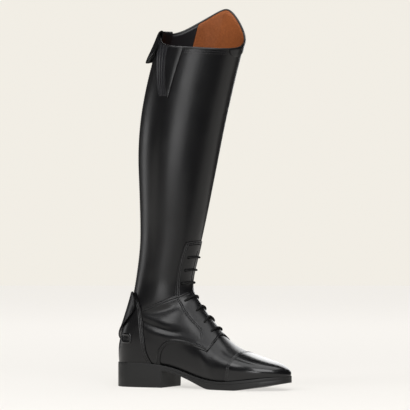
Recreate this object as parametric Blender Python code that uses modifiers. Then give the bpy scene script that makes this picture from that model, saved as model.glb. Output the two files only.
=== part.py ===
"""Left field boot: a tall black leather riding boot, laced over the instep and zipped up the back.

Tables and sizes are in millimetres, counted along the foot from the back of the heel and up from the floor.
In the scene +X points to the toe, +Y to the outer side of the leg and +Z up, in metres, and the origin lies
on the floor under the middle of the heel.
"""

import math

import bmesh
import bpy
import numpy as np

MM = 0.001
INNER_SIDE, OUTER_SIDE = -1, 1

# Driving sizes
SOLE_LENGTH = 270.0
HEEL_CENTRE = 40.0
HEEL_BREAST = 80.0
HEEL_ROUND = 31.0
TOE_ROUND_START = 228.0
TOE_ROUND_POWER = 2.3
TOE_CROWN_START = 245.0
TOE_CROWN_POWER = 3.0
SOLE_LIP = 3.3
TOE_LIP = 1.6
WALL = 2.4
GAP = 0.4
INSOLE_THICKNESS = 3.5
INSOLE_SIDE_GAP = 2.4
THROAT_HALF_GAP = 4.0
ZIP_HALF_GAP = 5.0
ZIP_SIDE_GAP = 0.4
ZIP_THICKNESS = 2.0
TONGUE_THICKNESS = 2.0
LACE_DIAMETER = 3.2
LACE_POINTS = 5
EYELET_REACH = 15.5
FLAP_THICKNESS = 1.8
ZIP_END_GAP = 1.0
ZIP_TAPER = 1.4
KEEPER_HEIGHT = 504.0
SPUR_REST_X = 28.0
SPUR_REST_Z = 69.0
SPUR_REST_LENGTH = 16.0
SPUR_REST_HEIGHT = 15.0
SPUR_REST_THICKNESS = 2.2

# Colours and how rough each surface is
BLACK_LEATHER = ((0.012, 0.012, 0.013), 0.34)
BLACK_RUBBER = ((0.018, 0.018, 0.018), 0.55)
BLACK_CORD = ((0.01, 0.01, 0.01), 0.8)
BLACK_TAPE = ((0.01, 0.01, 0.01), 0.6)
TAN_LEATHER = ((0.42, 0.2, 0.075), 0.7)

# The top of the sole under the upper: distance from the heel, height
SEAT = (
    (0, 34.5),
    (25, 34.5),
    (50, 34.5),
    (70, 33.4),
    (90, 30.6),
    (110, 25.0),
    (130, 18.5),
    (150, 13.6),
    (172, 11.2),
    (195, 12.2),
    (220, 15.0),
    (245, 18.2),
    (270, 20.2),
)

# The underside ahead of the heel: distance from the heel, height. The zeros stand on the floor.
UNDERSIDE = (
    (80, 24.0),
    (95, 22.0),
    (112, 16.4),
    (130, 9.6),
    (145, 3.4),
    (156, 0),
    (164, 0),
    (180, 0),
    (196, 0),
    (206, 0),
    (222, 3.2),
    (245, 7.2),
    (270, 11.0),
)

# The sole from above: distance from the heel, middle of the width, half the width
OUTLINE = (
    (0, 0, 31.0),
    (20, 0, 31.0),
    (45, 0, 31.4),
    (70, 0.5, 30.6),
    (95, 2.0, 30.0),
    (120, 3.5, 32.5),
    (145, 4.0, 38.5),
    (170, 3.0, 44.4),
    (195, 1.0, 46.2),
    (218, -1.5, 42.8),
    (240, -3.5, 36.0),
    (257, -4.5, 30.0),
    (270, -5.0, 25.5),
)

# Sections of the upper, from the toe round the heel and up the leg. Each one is a plane through a front
# point on the ridge and a back point, which lies on the sole's edge as far as the row "heel".
COLUMNS = ("front_x", "front_z", "ridge_y", "back_x", "back_z", "half", "peak", "front_power", "back_power")
SECTIONS = (
    ("toe", 268.4, 31.4, -5.0, 268.4, 0, 23.2, 0.70, 2.4, 2.0),
    ("toe_cap", 252, 35.8, -5.0, 252, 0, 30.0, 0.70, 2.4, 2.0),
    ("toe_joint", 233, 41.4, -4.5, 233, 0, 37.2, 0.70, 2.4, 2.0),
    ("cap_middle", 212, 47.4, -4.0, 212, 0, 42.6, 0.70, 2.3, 2.0),
    ("cap_seam", 191, 55.0, -3.5, 190, 0, 44.4, 0.70, 2.2, 2.0),
    ("ball", 177, 62.6, -3.0, 168, 0, 43.4, 0.70, 2.1, 2.0),
    ("throat", 163, 74.5, -3.0, 142, 0, 39.8, 0.66, 2.0, 2.0),
    ("waist", 151.5, 87.5, -2.5, 114, 0, 37.0, 0.62, 1.95, 2.2),
    ("instep_low", 142, 98.0, -2.0, 86, 0, 36.3, 0.58, 1.95, 2.3),
    ("instep", 134, 107.5, -1.5, 58, 0, 36.5, 0.56, 1.95, 2.2),
    ("instep_high", 127.5, 116.5, -1.0, 30, 0, 36.8, 0.58, 2.0, 2.05),
    ("heel", 122, 123.5, -0.5, 3.3, 34.9, 36.8, 0.61, 2.0, 2.0),
    ("counter", 118, 129.0, 0, 1.6, 52, 36.5, 0.59, 2.0, 2.0),
    ("counter_top", 114.5, 134.0, 0, 7.0, 75, 36.2, 0.55, 2.0, 2.0),
    ("ankle_low", 112.3, 139.0, 0, 14, 99, 36.0, 0.52, 2.0, 1.9),
    ("ankle", 111.5, 146.0, 0, 20, 119, 35.8, 0.50, 2.0, 1.75),
    ("ankle_top", 112.5, 156.0, 0, 24.2, 138, 35.8, 0.49, 2.0, 1.6),
    ("leg_160", 115.5, 169.0, 0, 27.2, 158, 36.2, 0.50, 2.0, 1.5),
    ("leg_180", 120, 185.0, 0, 30.2, 179, 37.0, 0.50, 2.0, 1.45),
    ("leg_200", 125, 205.0, 0, 32.9, 202, 38.5, 0.50, 2.0, 1.45),
    ("leg_230", 131, 230.0, 0, 33.2, 229, 41.0, 0.50, 2.0, 1.45),
    ("leg_260", 137, 258.5, 0, 32.4, 258, 45.0, 0.50, 2.0, 1.45),
    ("leg_290", 143.3, 289.0, 0, 31.4, 289, 48.8, 0.50, 2.0, 1.45),
    ("leg_320", 149.8, 320.0, 0, 29.8, 320, 52.4, 0.50, 2.0, 1.45),
    ("leg_350", 156.2, 351.0, 0, 30.8, 351, 55.0, 0.50, 2.0, 1.45),
    ("leg_380", 163.3, 382.0, 0, 34.0, 382, 56.3, 0.50, 2.0, 1.45),
    ("leg_410", 171, 412.0, 0, 39.8, 412, 57.0, 0.50, 2.0, 1.45),
    ("leg_440", 178.5, 441.0, 0, 47.0, 441, 57.0, 0.50, 2.0, 1.45),
    ("leg_470", 187, 470.0, 0, 55.7, 470, 56.5, 0.50, 2.0, 1.45),
    ("leg_500", 196, 500.0, 0, 64.4, 500, 56.0, 0.50, 2.0, 1.45),
    ("leg_540", 206, 540.0, 0, 77.4, 540, 55.5, 0.50, 2.0, 1.45),
)
SECTION_NAMES = [row[0] for row in SECTIONS]
HEEL = SECTION_NAMES.index("heel")
THROAT = SECTION_NAMES.index("throat")
COUNTER_TOP = SECTION_NAMES.index("counter_top")
LACING_TOP = SECTION_NAMES.index("leg_200")
ANKLE_SEAM = COUNTER_TOP + 0.5

# The top line: way round the leg from the front (0) to the back (-1 inner side, 1 outer side), height
TOP_LINE = (
    (-1.0, 500),
    (-0.92, 498),
    (-0.84, 491),
    (-0.74, 483),
    (-0.6, 479.5),
    (-0.4, 477),
    (-0.2, 475),
    (-0.06, 476),
    (0.06, 481),
    (0.16, 490),
    (0.26, 501),
    (0.36, 515),
    (0.44, 528.5),
    (0.50, 539),
    (0.55, 536),
    (0.63, 526),
    (0.73, 514),
    (0.82, 503.5),
    (0.92, 500.2),
    (1.0, 500),
)

# How the upper and the leg are divided: sections, counted in rows of the table
TOE_ROWS = (0, 0.03, 0.1, 0.22, 0.4, 0.65, 1)
FOOT_STEP = 0.5
HEEL_ROWS = (9.5, 10, 10.35, 10.62, 10.82, 10.95)
LEG_STEP = 1.0
RIM_BLEND_HEIGHT = 441.0
RIM_STEPS = 4
COLUMNS_A_SIDE = 14
END_STRIP_SHARE = 0.12
POINTS_A_TABLE_ROW = 40
POINTS_A_SECTION_PART = 40
LEAST_CUT = 0.05
STATIONS_IN_A_ROUND_END = 9
STATION_STEP = 8.0

# Where the lace bars cross the ridge, by height
LACE_HEIGHTS = (84, 100, 114.5, 128.5, 149, 167, 185)

# Columns of a flap that lies round the back, as shares of its half width
FLAP_SHARES = (-1, -0.84, -0.68, -0.52, -0.38, -0.25, -0.12, 0, 0.12, 0.25, 0.38, 0.52, 0.68, 0.84, 1)
FLAP_LEAST_STEP = 0.1

# The guard over the foot of the zip: height at the back, half width, how far it stands off
GUARD = (
    (66, 1.0, 4.6),
    (71, 7.0, 3.8),
    (76, 15.0, 2.9),
    (82, 27.0, 2.0),
    (88, 35.0, 1.4),
    (94, 37.5, 1.0),
    (103, 35.0, 0.7),
    (113, 31.0, 0.5),
    (123, 26.0, 0.4),
    (132, 20.0, 0.3),
)

# The keeper over the top of the zip, from the edge inside to the point outside: drop below its fold, half
# width, distance off the outer surface at its sides, and how much further the middle stands off
KEEPER = (
    (20, 15.0, -3.6, 0),
    (12, 16.0, -3.6, 0),
    (2, 16.5, -3.4, 0),
    (0, 16.5, -1.4, 0.2),
    (2, 16.5, 0.7, 0.8),
    (12, 21.0, 0.8, 1.8),
    (22, 28.0, 0.9, 3.2),
    (31, 33.0, 1.1, 4.8),
    (36, 25.0, 1.4, 6.0),
    (40, 14.0, 2.0, 7.0),
    (44.5, 1.0, 9.6, 0),
)


def spline(rows, at):
    """Smooth uniform cubic through the neighbourhood of the rows, exact at both ends."""
    rows = np.asarray(rows, float)
    padded = np.vstack([2 * rows[0] - rows[1], rows, 2 * rows[-1] - rows[-2]])
    at = np.atleast_1d(np.asarray(at, float))
    first = np.clip(np.floor(at).astype(int), 0, len(rows) - 2)
    f = (at - first)[:, None]
    return (
        padded[first] * (1 - f) ** 3
        + padded[first + 1] * (3 * f**3 - 6 * f**2 + 4)
        + padded[first + 2] * (3 * f + 3 * f**2 - 3 * f**3 + 1)
        + padded[first + 3] * f**3
    ) / 6


def dense(rows):
    return spline(rows, np.linspace(0, len(rows) - 1, POINTS_A_TABLE_ROW * len(rows)))


SEAT_CURVE = dense(SEAT)
UNDERSIDE_CURVE = dense(UNDERSIDE)
OUTLINE_CURVE = dense(OUTLINE)
TOP_LINE_CURVE = dense(TOP_LINE)


def seat_height(x):
    return np.interp(x, SEAT_CURVE[:, 0], SEAT_CURVE[:, 1])


def underside_height(x):
    return np.interp(x, UNDERSIDE_CURVE[:, 0], UNDERSIDE_CURVE[:, 1])


def top_line_height(way_round):
    return np.interp(way_round, TOP_LINE_CURVE[:, 0], TOP_LINE_CURVE[:, 1])


def rounding(distance, length, power):
    """Falls from 1 to 0 along a rounded end of that length."""
    return (1 - np.clip(distance / length, 0, 1) ** power) ** (1 / power)


def outline(x, inset, toe_inset):
    """Middle and half width of the sole's outline, drawn in by inset, and by toe_inset at the toe's end."""
    middle, half = (np.interp(x, OUTLINE_CURVE[:, 0], OUTLINE_CURVE[:, i]) for i in (1, 2))
    heel = rounding(HEEL_ROUND - x, HEEL_ROUND - inset, 2)
    toe = rounding(x - TOE_ROUND_START, SOLE_LENGTH - toe_inset - TOE_ROUND_START, TOE_ROUND_POWER)
    return middle, (half - inset) * heel * toe


SHAPE = np.array([row[1:] for row in SECTIONS], float)


def row_spans():
    """The distance from front to back of each row of the table."""
    front_x, front_z, back_x, back_z = (
        SHAPE[:, COLUMNS.index(name)] for name in ("front_x", "front_z", "back_x", "back_z")
    )
    on_sole = np.arange(len(SHAPE)) < HEEL
    return np.hypot(front_x - back_x, front_z - np.where(on_sole, seat_height(back_x) + GAP, back_z))


SPANS = row_spans()[:, None]


def section_values(t):
    """The sizes of the section t rows along the table, by column name, with its edge on the sole. The widest
    place runs on smoothly past the heel, where the back turns from the sole up the leg."""
    s = dict(zip(COLUMNS, spline(SHAPE, t)[0]))
    back = SHAPE[:, [COLUMNS.index("back_x"), COLUMNS.index("back_z")]]
    if t < HEEL:
        s["back_x"] = spline(back[: HEEL + 1], t)[0, 0]
        s["back_z"] = seat_height(s["back_x"]) + GAP
        s["back_y"], s["edge"] = outline(s["back_x"], SOLE_LIP, TOE_LIP)
    else:
        s["back_x"], s["back_z"] = spline(back[HEEL:], t - HEEL)[0]
        s["back_y"], s["edge"] = 0.0, 0.0
    toe_end = SOLE_LENGTH - TOE_LIP
    if s["front_x"] > TOE_ROUND_START:
        s["half"] *= rounding(s["back_x"] - TOE_ROUND_START, toe_end - TOE_ROUND_START, TOE_ROUND_POWER)
        crown = rounding(s["front_x"] - TOE_CROWN_START, toe_end - TOE_CROWN_START, TOE_CROWN_POWER)
        s["front_z"] = s["back_z"] + (s["front_z"] - s["back_z"]) * crown
    if t >= THROAT:
        s["peak"] *= spline(SPANS, t)[0, 0] / np.hypot(s["front_x"] - s["back_x"], s["front_z"] - s["back_z"])
    s["edge"] = min(s["edge"], s["half"])
    return s


def half_section(t, side):
    """One side of a section as points, from the ridge round to the back: a rounded front part as far as the
    widest place, and a rounded back part that ends on the sole's edge or closes at the back."""
    s = section_values(t)
    n, m, peak = s["front_power"], s["back_power"], s["peak"]
    turn = np.linspace(0, math.pi / 2, POINTS_A_SECTION_PART)
    front_along = peak * (1 - np.cos(turn).clip(0) ** (2 / n))
    front_out = s["half"] * np.sin(turn) ** (2 / n)
    edge_share = s["edge"] / max(s["half"], 1e-6)
    cut = max((1 - edge_share**m) ** (1 / m), LEAST_CUT)
    turn = np.linspace(0, math.asin(cut ** (m / 2)), POINTS_A_SECTION_PART)[1:]
    back_along = peak + (1 - peak) * np.sin(turn) ** (2 / m) / cut
    back_out = s["half"] * np.cos(turn).clip(0) ** (2 / m)
    along = np.concatenate([front_along, back_along])
    out = np.concatenate([front_out, back_out])
    x = s["front_x"] + along * (s["back_x"] - s["front_x"])
    z = s["front_z"] + along * (s["back_z"] - s["front_z"])
    y = s["ridge_y"] + along * (s["back_y"] - s["ridge_y"]) + side * out
    return np.column_stack([x, y, z])


def walk(points, distances):
    """The points at these distances along a run of points, each no further than its end."""
    lengths = np.linalg.norm(np.diff(points, axis=0), axis=1)
    total = np.concatenate([[0], np.cumsum(lengths)])
    distances = np.where(np.asarray(distances) < 0, total[-1] + np.asarray(distances), distances)
    return np.column_stack([np.interp(distances, total, points[:, i]) for i in range(3)])


def column_distances(points):
    """Distances of the grid's columns from the ridge: throat's edge, even steps, zip's edge, back."""
    length = np.linalg.norm(np.diff(points, axis=0), axis=1).sum()
    throat = min(THROAT_HALF_GAP, END_STRIP_SHARE * length)
    zip_edge = length - min(ZIP_HALF_GAP, END_STRIP_SHARE * length)
    return np.concatenate([[0], np.linspace(throat, zip_edge, COLUMNS_A_SIDE), [length]])


def surface_point(t, side, column):
    points = half_section(t, side)
    return walk(points, [column_distances(points)[column]])[0]


def near_point(t, side, distance, off):
    """A point off the outer surface, at a distance round the section from the ridge, or from the back if
    negative."""
    up_step, side_step = 0.02, 0.2
    way = side_step if distance >= 0 else -side_step
    points = half_section(t, side)
    here, beside = walk(points, [distance, distance + way])
    above = walk(half_section(t + up_step, side), [distance])[0]
    normal = np.cross(above - here, beside - here) * -side * way
    return here + normal / np.linalg.norm(normal) * off


STEPS = np.linspace(THROAT, len(SECTIONS) - 1, 1500)
LINES = [section_values(t) for t in STEPS]


def section_at(height, line):
    """How far along the table the front or the back line reaches this height."""
    kept = STEPS >= (HEEL if line == "back" else THROAT)
    heights = np.array([s[line + "_z"] for s in LINES])
    return float(np.interp(height, heights[kept], STEPS[kept]))


def place_on_side(x, z, side):
    """The section and the distance round it of the point of one side that has this x and z."""
    best = None
    first, tries = HEEL - 3, 90
    for t in np.linspace(first, ANKLE_SEAM, tries):
        points = half_section(t, side)
        misses = np.hypot(points[:, 0] - x, points[:, 2] - z)
        nearest = int(misses.argmin())
        if best is None or misses[nearest] < best[0]:
            lengths = np.linalg.norm(np.diff(points, axis=0), axis=1)
            best = (misses[nearest], t, lengths[:nearest].sum())
    return best[1], best[2]


def metres(points):
    return (np.asarray(points, float) - (HEEL_CENTRE, 0, 0)) * MM


def paint(obj, look):
    colour, roughness = look
    material = bpy.data.materials.new(obj.name)
    material.use_nodes = True
    shader = material.node_tree.nodes["Principled BSDF"]
    shader.inputs["Base Color"].default_value = (*colour, 1)
    shader.inputs["Roughness"].default_value = roughness
    obj.data.materials.append(material)


def add_mesh(name, collection, points, faces):
    """A mesh object from points in millimetres, with points that coincide made one."""
    shape = bmesh.new()
    vertices = [shape.verts.new(p) for p in metres(points)]
    for face in faces:
        shape.faces.new([vertices[i] for i in face])
    bmesh.ops.remove_doubles(shape, verts=shape.verts, dist=1e-6)
    bmesh.ops.dissolve_degenerate(shape, edges=shape.edges, dist=1e-7)
    mesh = bpy.data.meshes.new(name)
    shape.to_mesh(mesh)
    shape.free()
    mesh.shade_smooth()
    obj = bpy.data.objects.new(name, mesh)
    collection.objects.link(obj)
    return obj


def thicken(obj, thickness, offset=-1.0):
    shell = obj.modifiers.new("wall", "SOLIDIFY")
    shell.thickness = thickness * MM
    shell.offset = offset


def grid_faces(rows, columns, flip=False):
    """Quads over a grid of points numbered row by row."""
    faces = []
    for i in range(rows - 1):
        for j in range(columns - 1):
            a = i * columns + j
            face = (a, a + columns, a + columns + 1, a + 1)
            faces.append(face[::-1] if flip else face)
    return faces


def shell_of(name, collection, rows, left_out):
    """A wall over both sides of the boot. rows gives the section for each column, and left_out says which
    cells of the grid are open."""
    columns = COLUMNS_A_SIDE + 2
    points, faces = [], []
    for side in (INNER_SIDE, OUTER_SIDE):
        start = len(points)
        grid = rows(side)
        for row in grid:
            points += [surface_point(t, side, j) for j, t in enumerate(row)]
        for i in range(len(grid) - 1):
            for j in range(columns - 1):
                if left_out(grid[i][j], j):
                    continue
                a = start + i * columns + j
                face = (a, a + columns, a + columns + 1, a + 1)
                faces.append(face if side == INNER_SIDE else face[::-1])
    used = sorted({i for face in faces for i in face})
    place = {old: new for new, old in enumerate(used)}
    obj = add_mesh(name, collection, [points[i] for i in used], [[place[i] for i in face] for face in faces])
    thicken(obj, WALL)
    return obj


def foot_rows():
    middle = np.arange(1 + FOOT_STEP, HEEL_ROWS[0], FOOT_STEP)
    top = np.arange(HEEL, ANKLE_SEAM + FOOT_STEP / 2, FOOT_STEP)
    return np.concatenate([TOE_ROWS, middle, HEEL_ROWS, top])


def make_upper(collection):
    throat_column, zip_column = 0, COLUMNS_A_SIDE

    def rows(side):
        return [[t] * (COLUMNS_A_SIDE + 2) for t in foot_rows()]

    def left_out(t, column):
        open_throat = column == throat_column and t >= THROAT
        open_back = column == zip_column and t >= COUNTER_TOP
        return open_throat or open_back

    obj = shell_of("upper", collection, rows, left_out)
    paint(obj, BLACK_LEATHER)
    return obj


def leg_rows(side):
    """Rows up the leg, the last ones rising to the top line."""
    one_row = np.linalg.norm(surface_point(ANKLE_SEAM + 1, side, 0) - surface_point(ANKLE_SEAM, side, 0))
    seam_step = GAP / one_row
    blend = section_at(RIM_BLEND_HEIGHT, "front")
    lower = [ANKLE_SEAM + seam_step, *np.arange(ANKLE_SEAM + FOOT_STEP, LACING_TOP, FOOT_STEP)]
    level = [*lower, *np.arange(LACING_TOP, blend - LEG_STEP / 2, LEG_STEP)]
    ways = np.linspace(0, 1, COLUMNS_A_SIDE + 2) * side
    rims = [section_at(h, "front") for h in top_line_height(ways)]
    rows = [[t] * len(ways) for t in level]
    for share in np.linspace(0, 1, RIM_STEPS + 1):
        rows.append([blend + (rim - blend) * share for rim in rims])
    return rows


def make_leg(collection):
    throat_column, zip_column = 0, COLUMNS_A_SIDE

    def left_out(t, column):
        return column == zip_column or (column == throat_column and t < LACING_TOP)

    obj = shell_of("shaft", collection, leg_rows, left_out)
    paint(obj, BLACK_LEATHER)
    return obj


def stations(start, end):
    """Distances along the foot, close together in the rounded ends."""
    turn = np.linspace(0, math.pi / 2, STATIONS_IN_A_ROUND_END)
    heel = start + (HEEL_ROUND - start) * (1 - np.cos(turn))
    toe = TOE_ROUND_START + (end - TOE_ROUND_START) * np.sin(turn)
    middle = np.arange(HEEL_ROUND + STATION_STEP, TOE_ROUND_START - STATION_STEP / 2, STATION_STEP)
    behind, ahead = middle[middle < HEEL_BREAST], middle[middle > HEEL_BREAST]
    return np.concatenate([heel, behind, [HEEL_BREAST], ahead, toe])


def plate(name, collection, places, levels):
    """A solid between outlines: each place is a distance along the foot, its insets, and what levels needs
    to give the heights of its layers, top first."""
    points, count = [], len(levels(places[0]))
    for place in places:
        x, inset, toe_inset = place[:3]
        middle, half = outline(x, inset, toe_inset)
        points += [(x, middle + side * half, z) for side in (INNER_SIDE, OUTER_SIDE) for z in levels(place)]
    ring = list(range(count)) + list(range(2 * count - 1, count - 1, -1))
    faces = []
    for i in range(len(places) - 1):
        a, b = i * 2 * count, (i + 1) * 2 * count
        for here, after in zip(ring, ring[1:] + ring[:1]):
            faces.append((a + here, a + after, b + after, b + here))
    return add_mesh(name, collection, points, faces)


def make_outsole(collection):
    """The moulded sole, with its heel block: top, underside of the plate, foot of the heel."""
    xs = stations(0, SOLE_LENGTH)
    heel = [(x, 0, 0, 0.0) for x in xs if x <= HEEL_BREAST]
    ahead = [(x, 0, 0, underside_height(x)) for x in xs if x >= HEEL_BREAST]

    def levels(place):
        x, foot = place[0], place[3]
        return (seat_height(x), underside_height(max(x, HEEL_BREAST)), foot)

    obj = plate("outsole", collection, heel + ahead, levels)
    paint(obj, BLACK_RUBBER)
    return obj


def make_insole(collection):
    inset = SOLE_LIP + WALL + INSOLE_SIDE_GAP
    places = [(x, inset, inset) for x in stations(inset, SOLE_LENGTH - inset)]

    def levels(place):
        bottom = seat_height(place[0]) + GAP
        return (bottom + INSOLE_THICKNESS, bottom)

    obj = plate("insole", collection, places, levels)
    paint(obj, TAN_LEATHER)
    return obj


def make_tongue(collection):
    """The tongue lies under both edges of the throat, from under the vamp to above the lacing."""
    under_vamp, last_column = THROAT - 1.0, 4
    lower = [t for t in foot_rows() if under_vamp <= t <= ANKLE_SEAM]
    upper = np.arange(ANKLE_SEAM + FOOT_STEP, LACING_TOP + LEG_STEP, FOOT_STEP)
    points = []
    rows = [*lower, *upper]
    for t in rows:
        for side in (INNER_SIDE, OUTER_SIDE):
            near = column_distances(half_section(t, side))[: last_column + 1]
            near = near[::-1] if side == INNER_SIDE else near[1:]
            points += [near_point(t, side, d, -WALL - GAP) for d in near]
    obj = add_mesh("tongue", collection, points, grid_faces(len(rows), 2 * last_column + 1, flip=True))
    thicken(obj, TONGUE_THICKNESS)
    paint(obj, BLACK_LEATHER)
    return obj


def make_laces(collection):
    """Seven bars over the throat, each ending at its two eyelets."""
    off = LACE_DIAMETER / 2 + GAP
    for number, height in enumerate(LACE_HEIGHTS, start=1):
        t = section_at(height, "front")
        reach = np.linspace(EYELET_REACH, 0, LACE_POINTS)
        inner = [near_point(t, INNER_SIDE, d, off) for d in reach]
        outer = [near_point(t, OUTER_SIDE, d, off) for d in reach[-2::-1]]
        curve = bpy.data.curves.new(f"lace_bar_{number}", "CURVE")
        curve.dimensions = "3D"
        curve.bevel_depth = LACE_DIAMETER / 2 * MM
        curve.bevel_resolution = 2
        curve.use_fill_caps = True
        line = curve.splines.new("POLY")
        path = metres([*inner, *outer])
        line.points.add(len(path) - 1)
        for point, place in zip(line.points, path):
            point.co = (*place, 1)
        obj = bpy.data.objects.new(curve.name, curve)
        collection.objects.link(obj)
        paint(obj, BLACK_CORD)


def ring_solid(name, collection, rings):
    """A solid through closed rings of points, flat at both ends."""
    count = len(rings[0])
    faces = [tuple(range(count)), tuple(range((len(rings) - 1) * count, len(rings) * count))[::-1]]
    for i in range(len(rings) - 1):
        for j in range(count):
            a, b = i * count + j, i * count + (j + 1) % count
            faces.append((a, a + count, b + count, b))
    return add_mesh(name, collection, [point for ring in rings for point in ring], faces)


def make_zip(collection):
    """The closed zip, a narrow strip between the two back edges of upper and leg, narrower inside."""
    start = section_at(SHAPE[COUNTER_TOP, COLUMNS.index("back_z")] + ZIP_END_GAP, "back")
    end = section_at(top_line_height(1.0) - ZIP_END_GAP, "back")
    bend = np.arange(COUNTER_TOP + FOOT_STEP, LACING_TOP, FOOT_STEP)
    straight = np.arange(LACING_TOP, end - LEG_STEP / 2, LEG_STEP)
    half = ZIP_HALF_GAP - ZIP_SIDE_GAP
    rings = []
    for t in [start, *bend, *straight, end]:
        ridge = half_section(t, INNER_SIDE)[-1]
        outside = [near_point(t, INNER_SIDE, -half, 0), ridge, near_point(t, OUTER_SIDE, -half, 0)]
        inside = [
            near_point(t, OUTER_SIDE, -half - 1, -ZIP_THICKNESS) - (0, ZIP_TAPER, 0),
            ridge + (ZIP_THICKNESS, 0, 0),
            near_point(t, INNER_SIDE, -half - 1, -ZIP_THICKNESS) + (0, ZIP_TAPER, 0),
        ]
        rings.append(outside + inside)
    obj = ring_solid("zip", collection, rings)
    paint(obj, BLACK_TAPE)
    return obj


def make_zip_guard(collection):
    """The pointed flap over the foot of the zip. It is sewn on at its top, and its point stands off."""
    points = []
    for height, half, stand_off in GUARD:
        t = section_at(height, "back")
        for share in FLAP_SHARES:
            side = INNER_SIDE if share < 0 else OUTER_SIDE
            round_back = -max(abs(share) * half, FLAP_LEAST_STEP)
            points.append(near_point(t, side, round_back, GAP + stand_off))
    obj = add_mesh("zip_guard", collection, points, grid_faces(len(GUARD), len(FLAP_SHARES)))
    thicken(obj, FLAP_THICKNESS, 1.0)
    paint(obj, BLACK_LEATHER)
    return obj


def make_zip_keeper(collection):
    """The tab folded over the top of the zip: a short leg inside, a pointed one outside that stands off."""
    points = []
    for drop, half, off, stand_off in KEEPER:
        for share in FLAP_SHARES:
            side = INNER_SIDE if share < 0 else OUTER_SIDE
            flare = stand_off * (1 - share**2)
            height = KEEPER_HEIGHT - drop
            t = section_at(height, "back")
            points.append(near_point(t, side, -max(abs(share) * half, FLAP_LEAST_STEP), off + flare))
    obj = add_mesh("zip_keeper", collection, points, grid_faces(len(KEEPER), len(FLAP_SHARES), flip=True))
    thicken(obj, FLAP_THICKNESS, 1.0)
    paint(obj, BLACK_LEATHER)
    return obj


def make_spur_rests(collection):
    """A small raised pad on each side of the counter, which a spur lies on."""
    across = np.linspace(-0.5, 0.5, 4)
    for side, name in ((INNER_SIDE, "inner"), (OUTER_SIDE, "outer")):
        points = []
        for dz in across:
            for dx in across:
                x = SPUR_REST_X + dx * SPUR_REST_LENGTH
                z = SPUR_REST_Z + dz * SPUR_REST_HEIGHT
                t, distance = place_on_side(x, z, side)
                points.append(near_point(t, side, distance, GAP))
        obj = add_mesh(f"spur_rest_{name}", collection, points, grid_faces(4, 4, flip=side == INNER_SIDE))
        thicken(obj, SPUR_REST_THICKNESS, 1.0)
        paint(obj, BLACK_LEATHER)


def build():
    for obj in list(bpy.data.objects):
        bpy.data.objects.remove(obj)
    boot = bpy.data.collections.new("field_boot")
    bpy.context.scene.collection.children.link(boot)
    make_outsole(boot)
    make_insole(boot)
    make_upper(boot)
    make_leg(boot)
    make_tongue(boot)
    make_laces(boot)
    make_zip(boot)
    make_zip_guard(boot)
    make_zip_keeper(boot)
    make_spur_rests(boot)


build()
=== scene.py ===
"""Looks of the left field boot: smooth black leather panels, lining, laces, zip and rubber sole.

Sizes are in millimetres, counted along the foot from the back of the heel and up from the floor. A place
on the boot's skin is (t, q): t is the section, counted in rows of SECTIONS from the toe round the heel and
up the leg, and q the way round it, 0 on the front ridge, -1 at the back by the inner side and 1 at the
back by the outer side.
"""

import math

import bmesh
import bpy
import numpy as np
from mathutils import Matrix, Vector
from mathutils.geometry import delaunay_2d_cdt


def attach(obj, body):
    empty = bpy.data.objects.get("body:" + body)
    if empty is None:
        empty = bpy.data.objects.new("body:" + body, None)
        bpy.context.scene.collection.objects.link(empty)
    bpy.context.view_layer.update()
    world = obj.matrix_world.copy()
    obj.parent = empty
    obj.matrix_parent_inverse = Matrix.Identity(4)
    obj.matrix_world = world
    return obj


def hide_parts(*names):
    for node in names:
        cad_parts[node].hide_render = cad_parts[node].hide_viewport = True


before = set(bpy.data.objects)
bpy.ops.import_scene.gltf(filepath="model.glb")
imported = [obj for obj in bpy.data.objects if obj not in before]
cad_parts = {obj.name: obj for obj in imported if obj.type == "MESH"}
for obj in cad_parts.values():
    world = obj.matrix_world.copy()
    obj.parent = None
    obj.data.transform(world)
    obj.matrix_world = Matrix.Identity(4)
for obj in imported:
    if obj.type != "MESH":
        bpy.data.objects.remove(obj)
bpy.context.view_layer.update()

MM = 0.001
INNER_SIDE, OUTER_SIDE = -1, 1
SIDES = ((INNER_SIDE, "inner"), (OUTER_SIDE, "outer"))
HEEL_CENTRE = 40.0

# Sole and last
SOLE_LENGTH = 270.0
HEEL_BREAST = 80.0
BREAST_SLOPE = 0.6
HEEL_ROUND = 31.0
TOE_ROUND_START = 228.0
TOE_ROUND_POWER = 2.3
TOE_CROWN_START = 245.0
TOE_CROWN_POWER = 3.0
SOLE_LIP = 3.3
TOE_LIP = 1.6
SEAT_GAP = 0.4

# Steps by which the rows close in on the round of the heel, and how far ahead of it places spread evenly
HEEL_STEPS = (0.035, 0.022, 0.013, 0.007, 0.003, 0.001)
HEEL_BLEND = 0.6

# Walls and openings
LEATHER = 1.4
LINING = 0.8
FOOT_WALL = 2.2
THROAT_HALF_GAP = 0.6
LINING_HALF_GAP = 6.6
ZIP_HALF_GAP = 5.0
LACE_RADIUS = 1.5
PIPING_RADIUS = 1.6
BINDING_SINK = 0.02
SLIT_STEP = 0.002
STITCH_SINK = 0.25
TAN_END = 0.705

# The top of the sole under the upper: distance from the heel, height
SEAT = (
    (0, 34.5), (25, 34.5), (50, 34.5), (70, 33.4), (90, 30.6), (110, 25.0), (130, 18.5), (150, 13.6),
    (172, 11.2), (195, 12.2), (220, 15.0), (245, 18.2), (270, 20.2),
)

# The underside ahead of the heel: distance from the heel, height
UNDERSIDE = (
    (80, 24.0), (95, 22.0), (112, 16.4), (130, 9.6), (145, 3.4), (156, 0), (164, 0), (180, 0), (196, 0),
    (206, 0), (222, 3.2), (245, 7.2), (270, 11.0),
)

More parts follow.
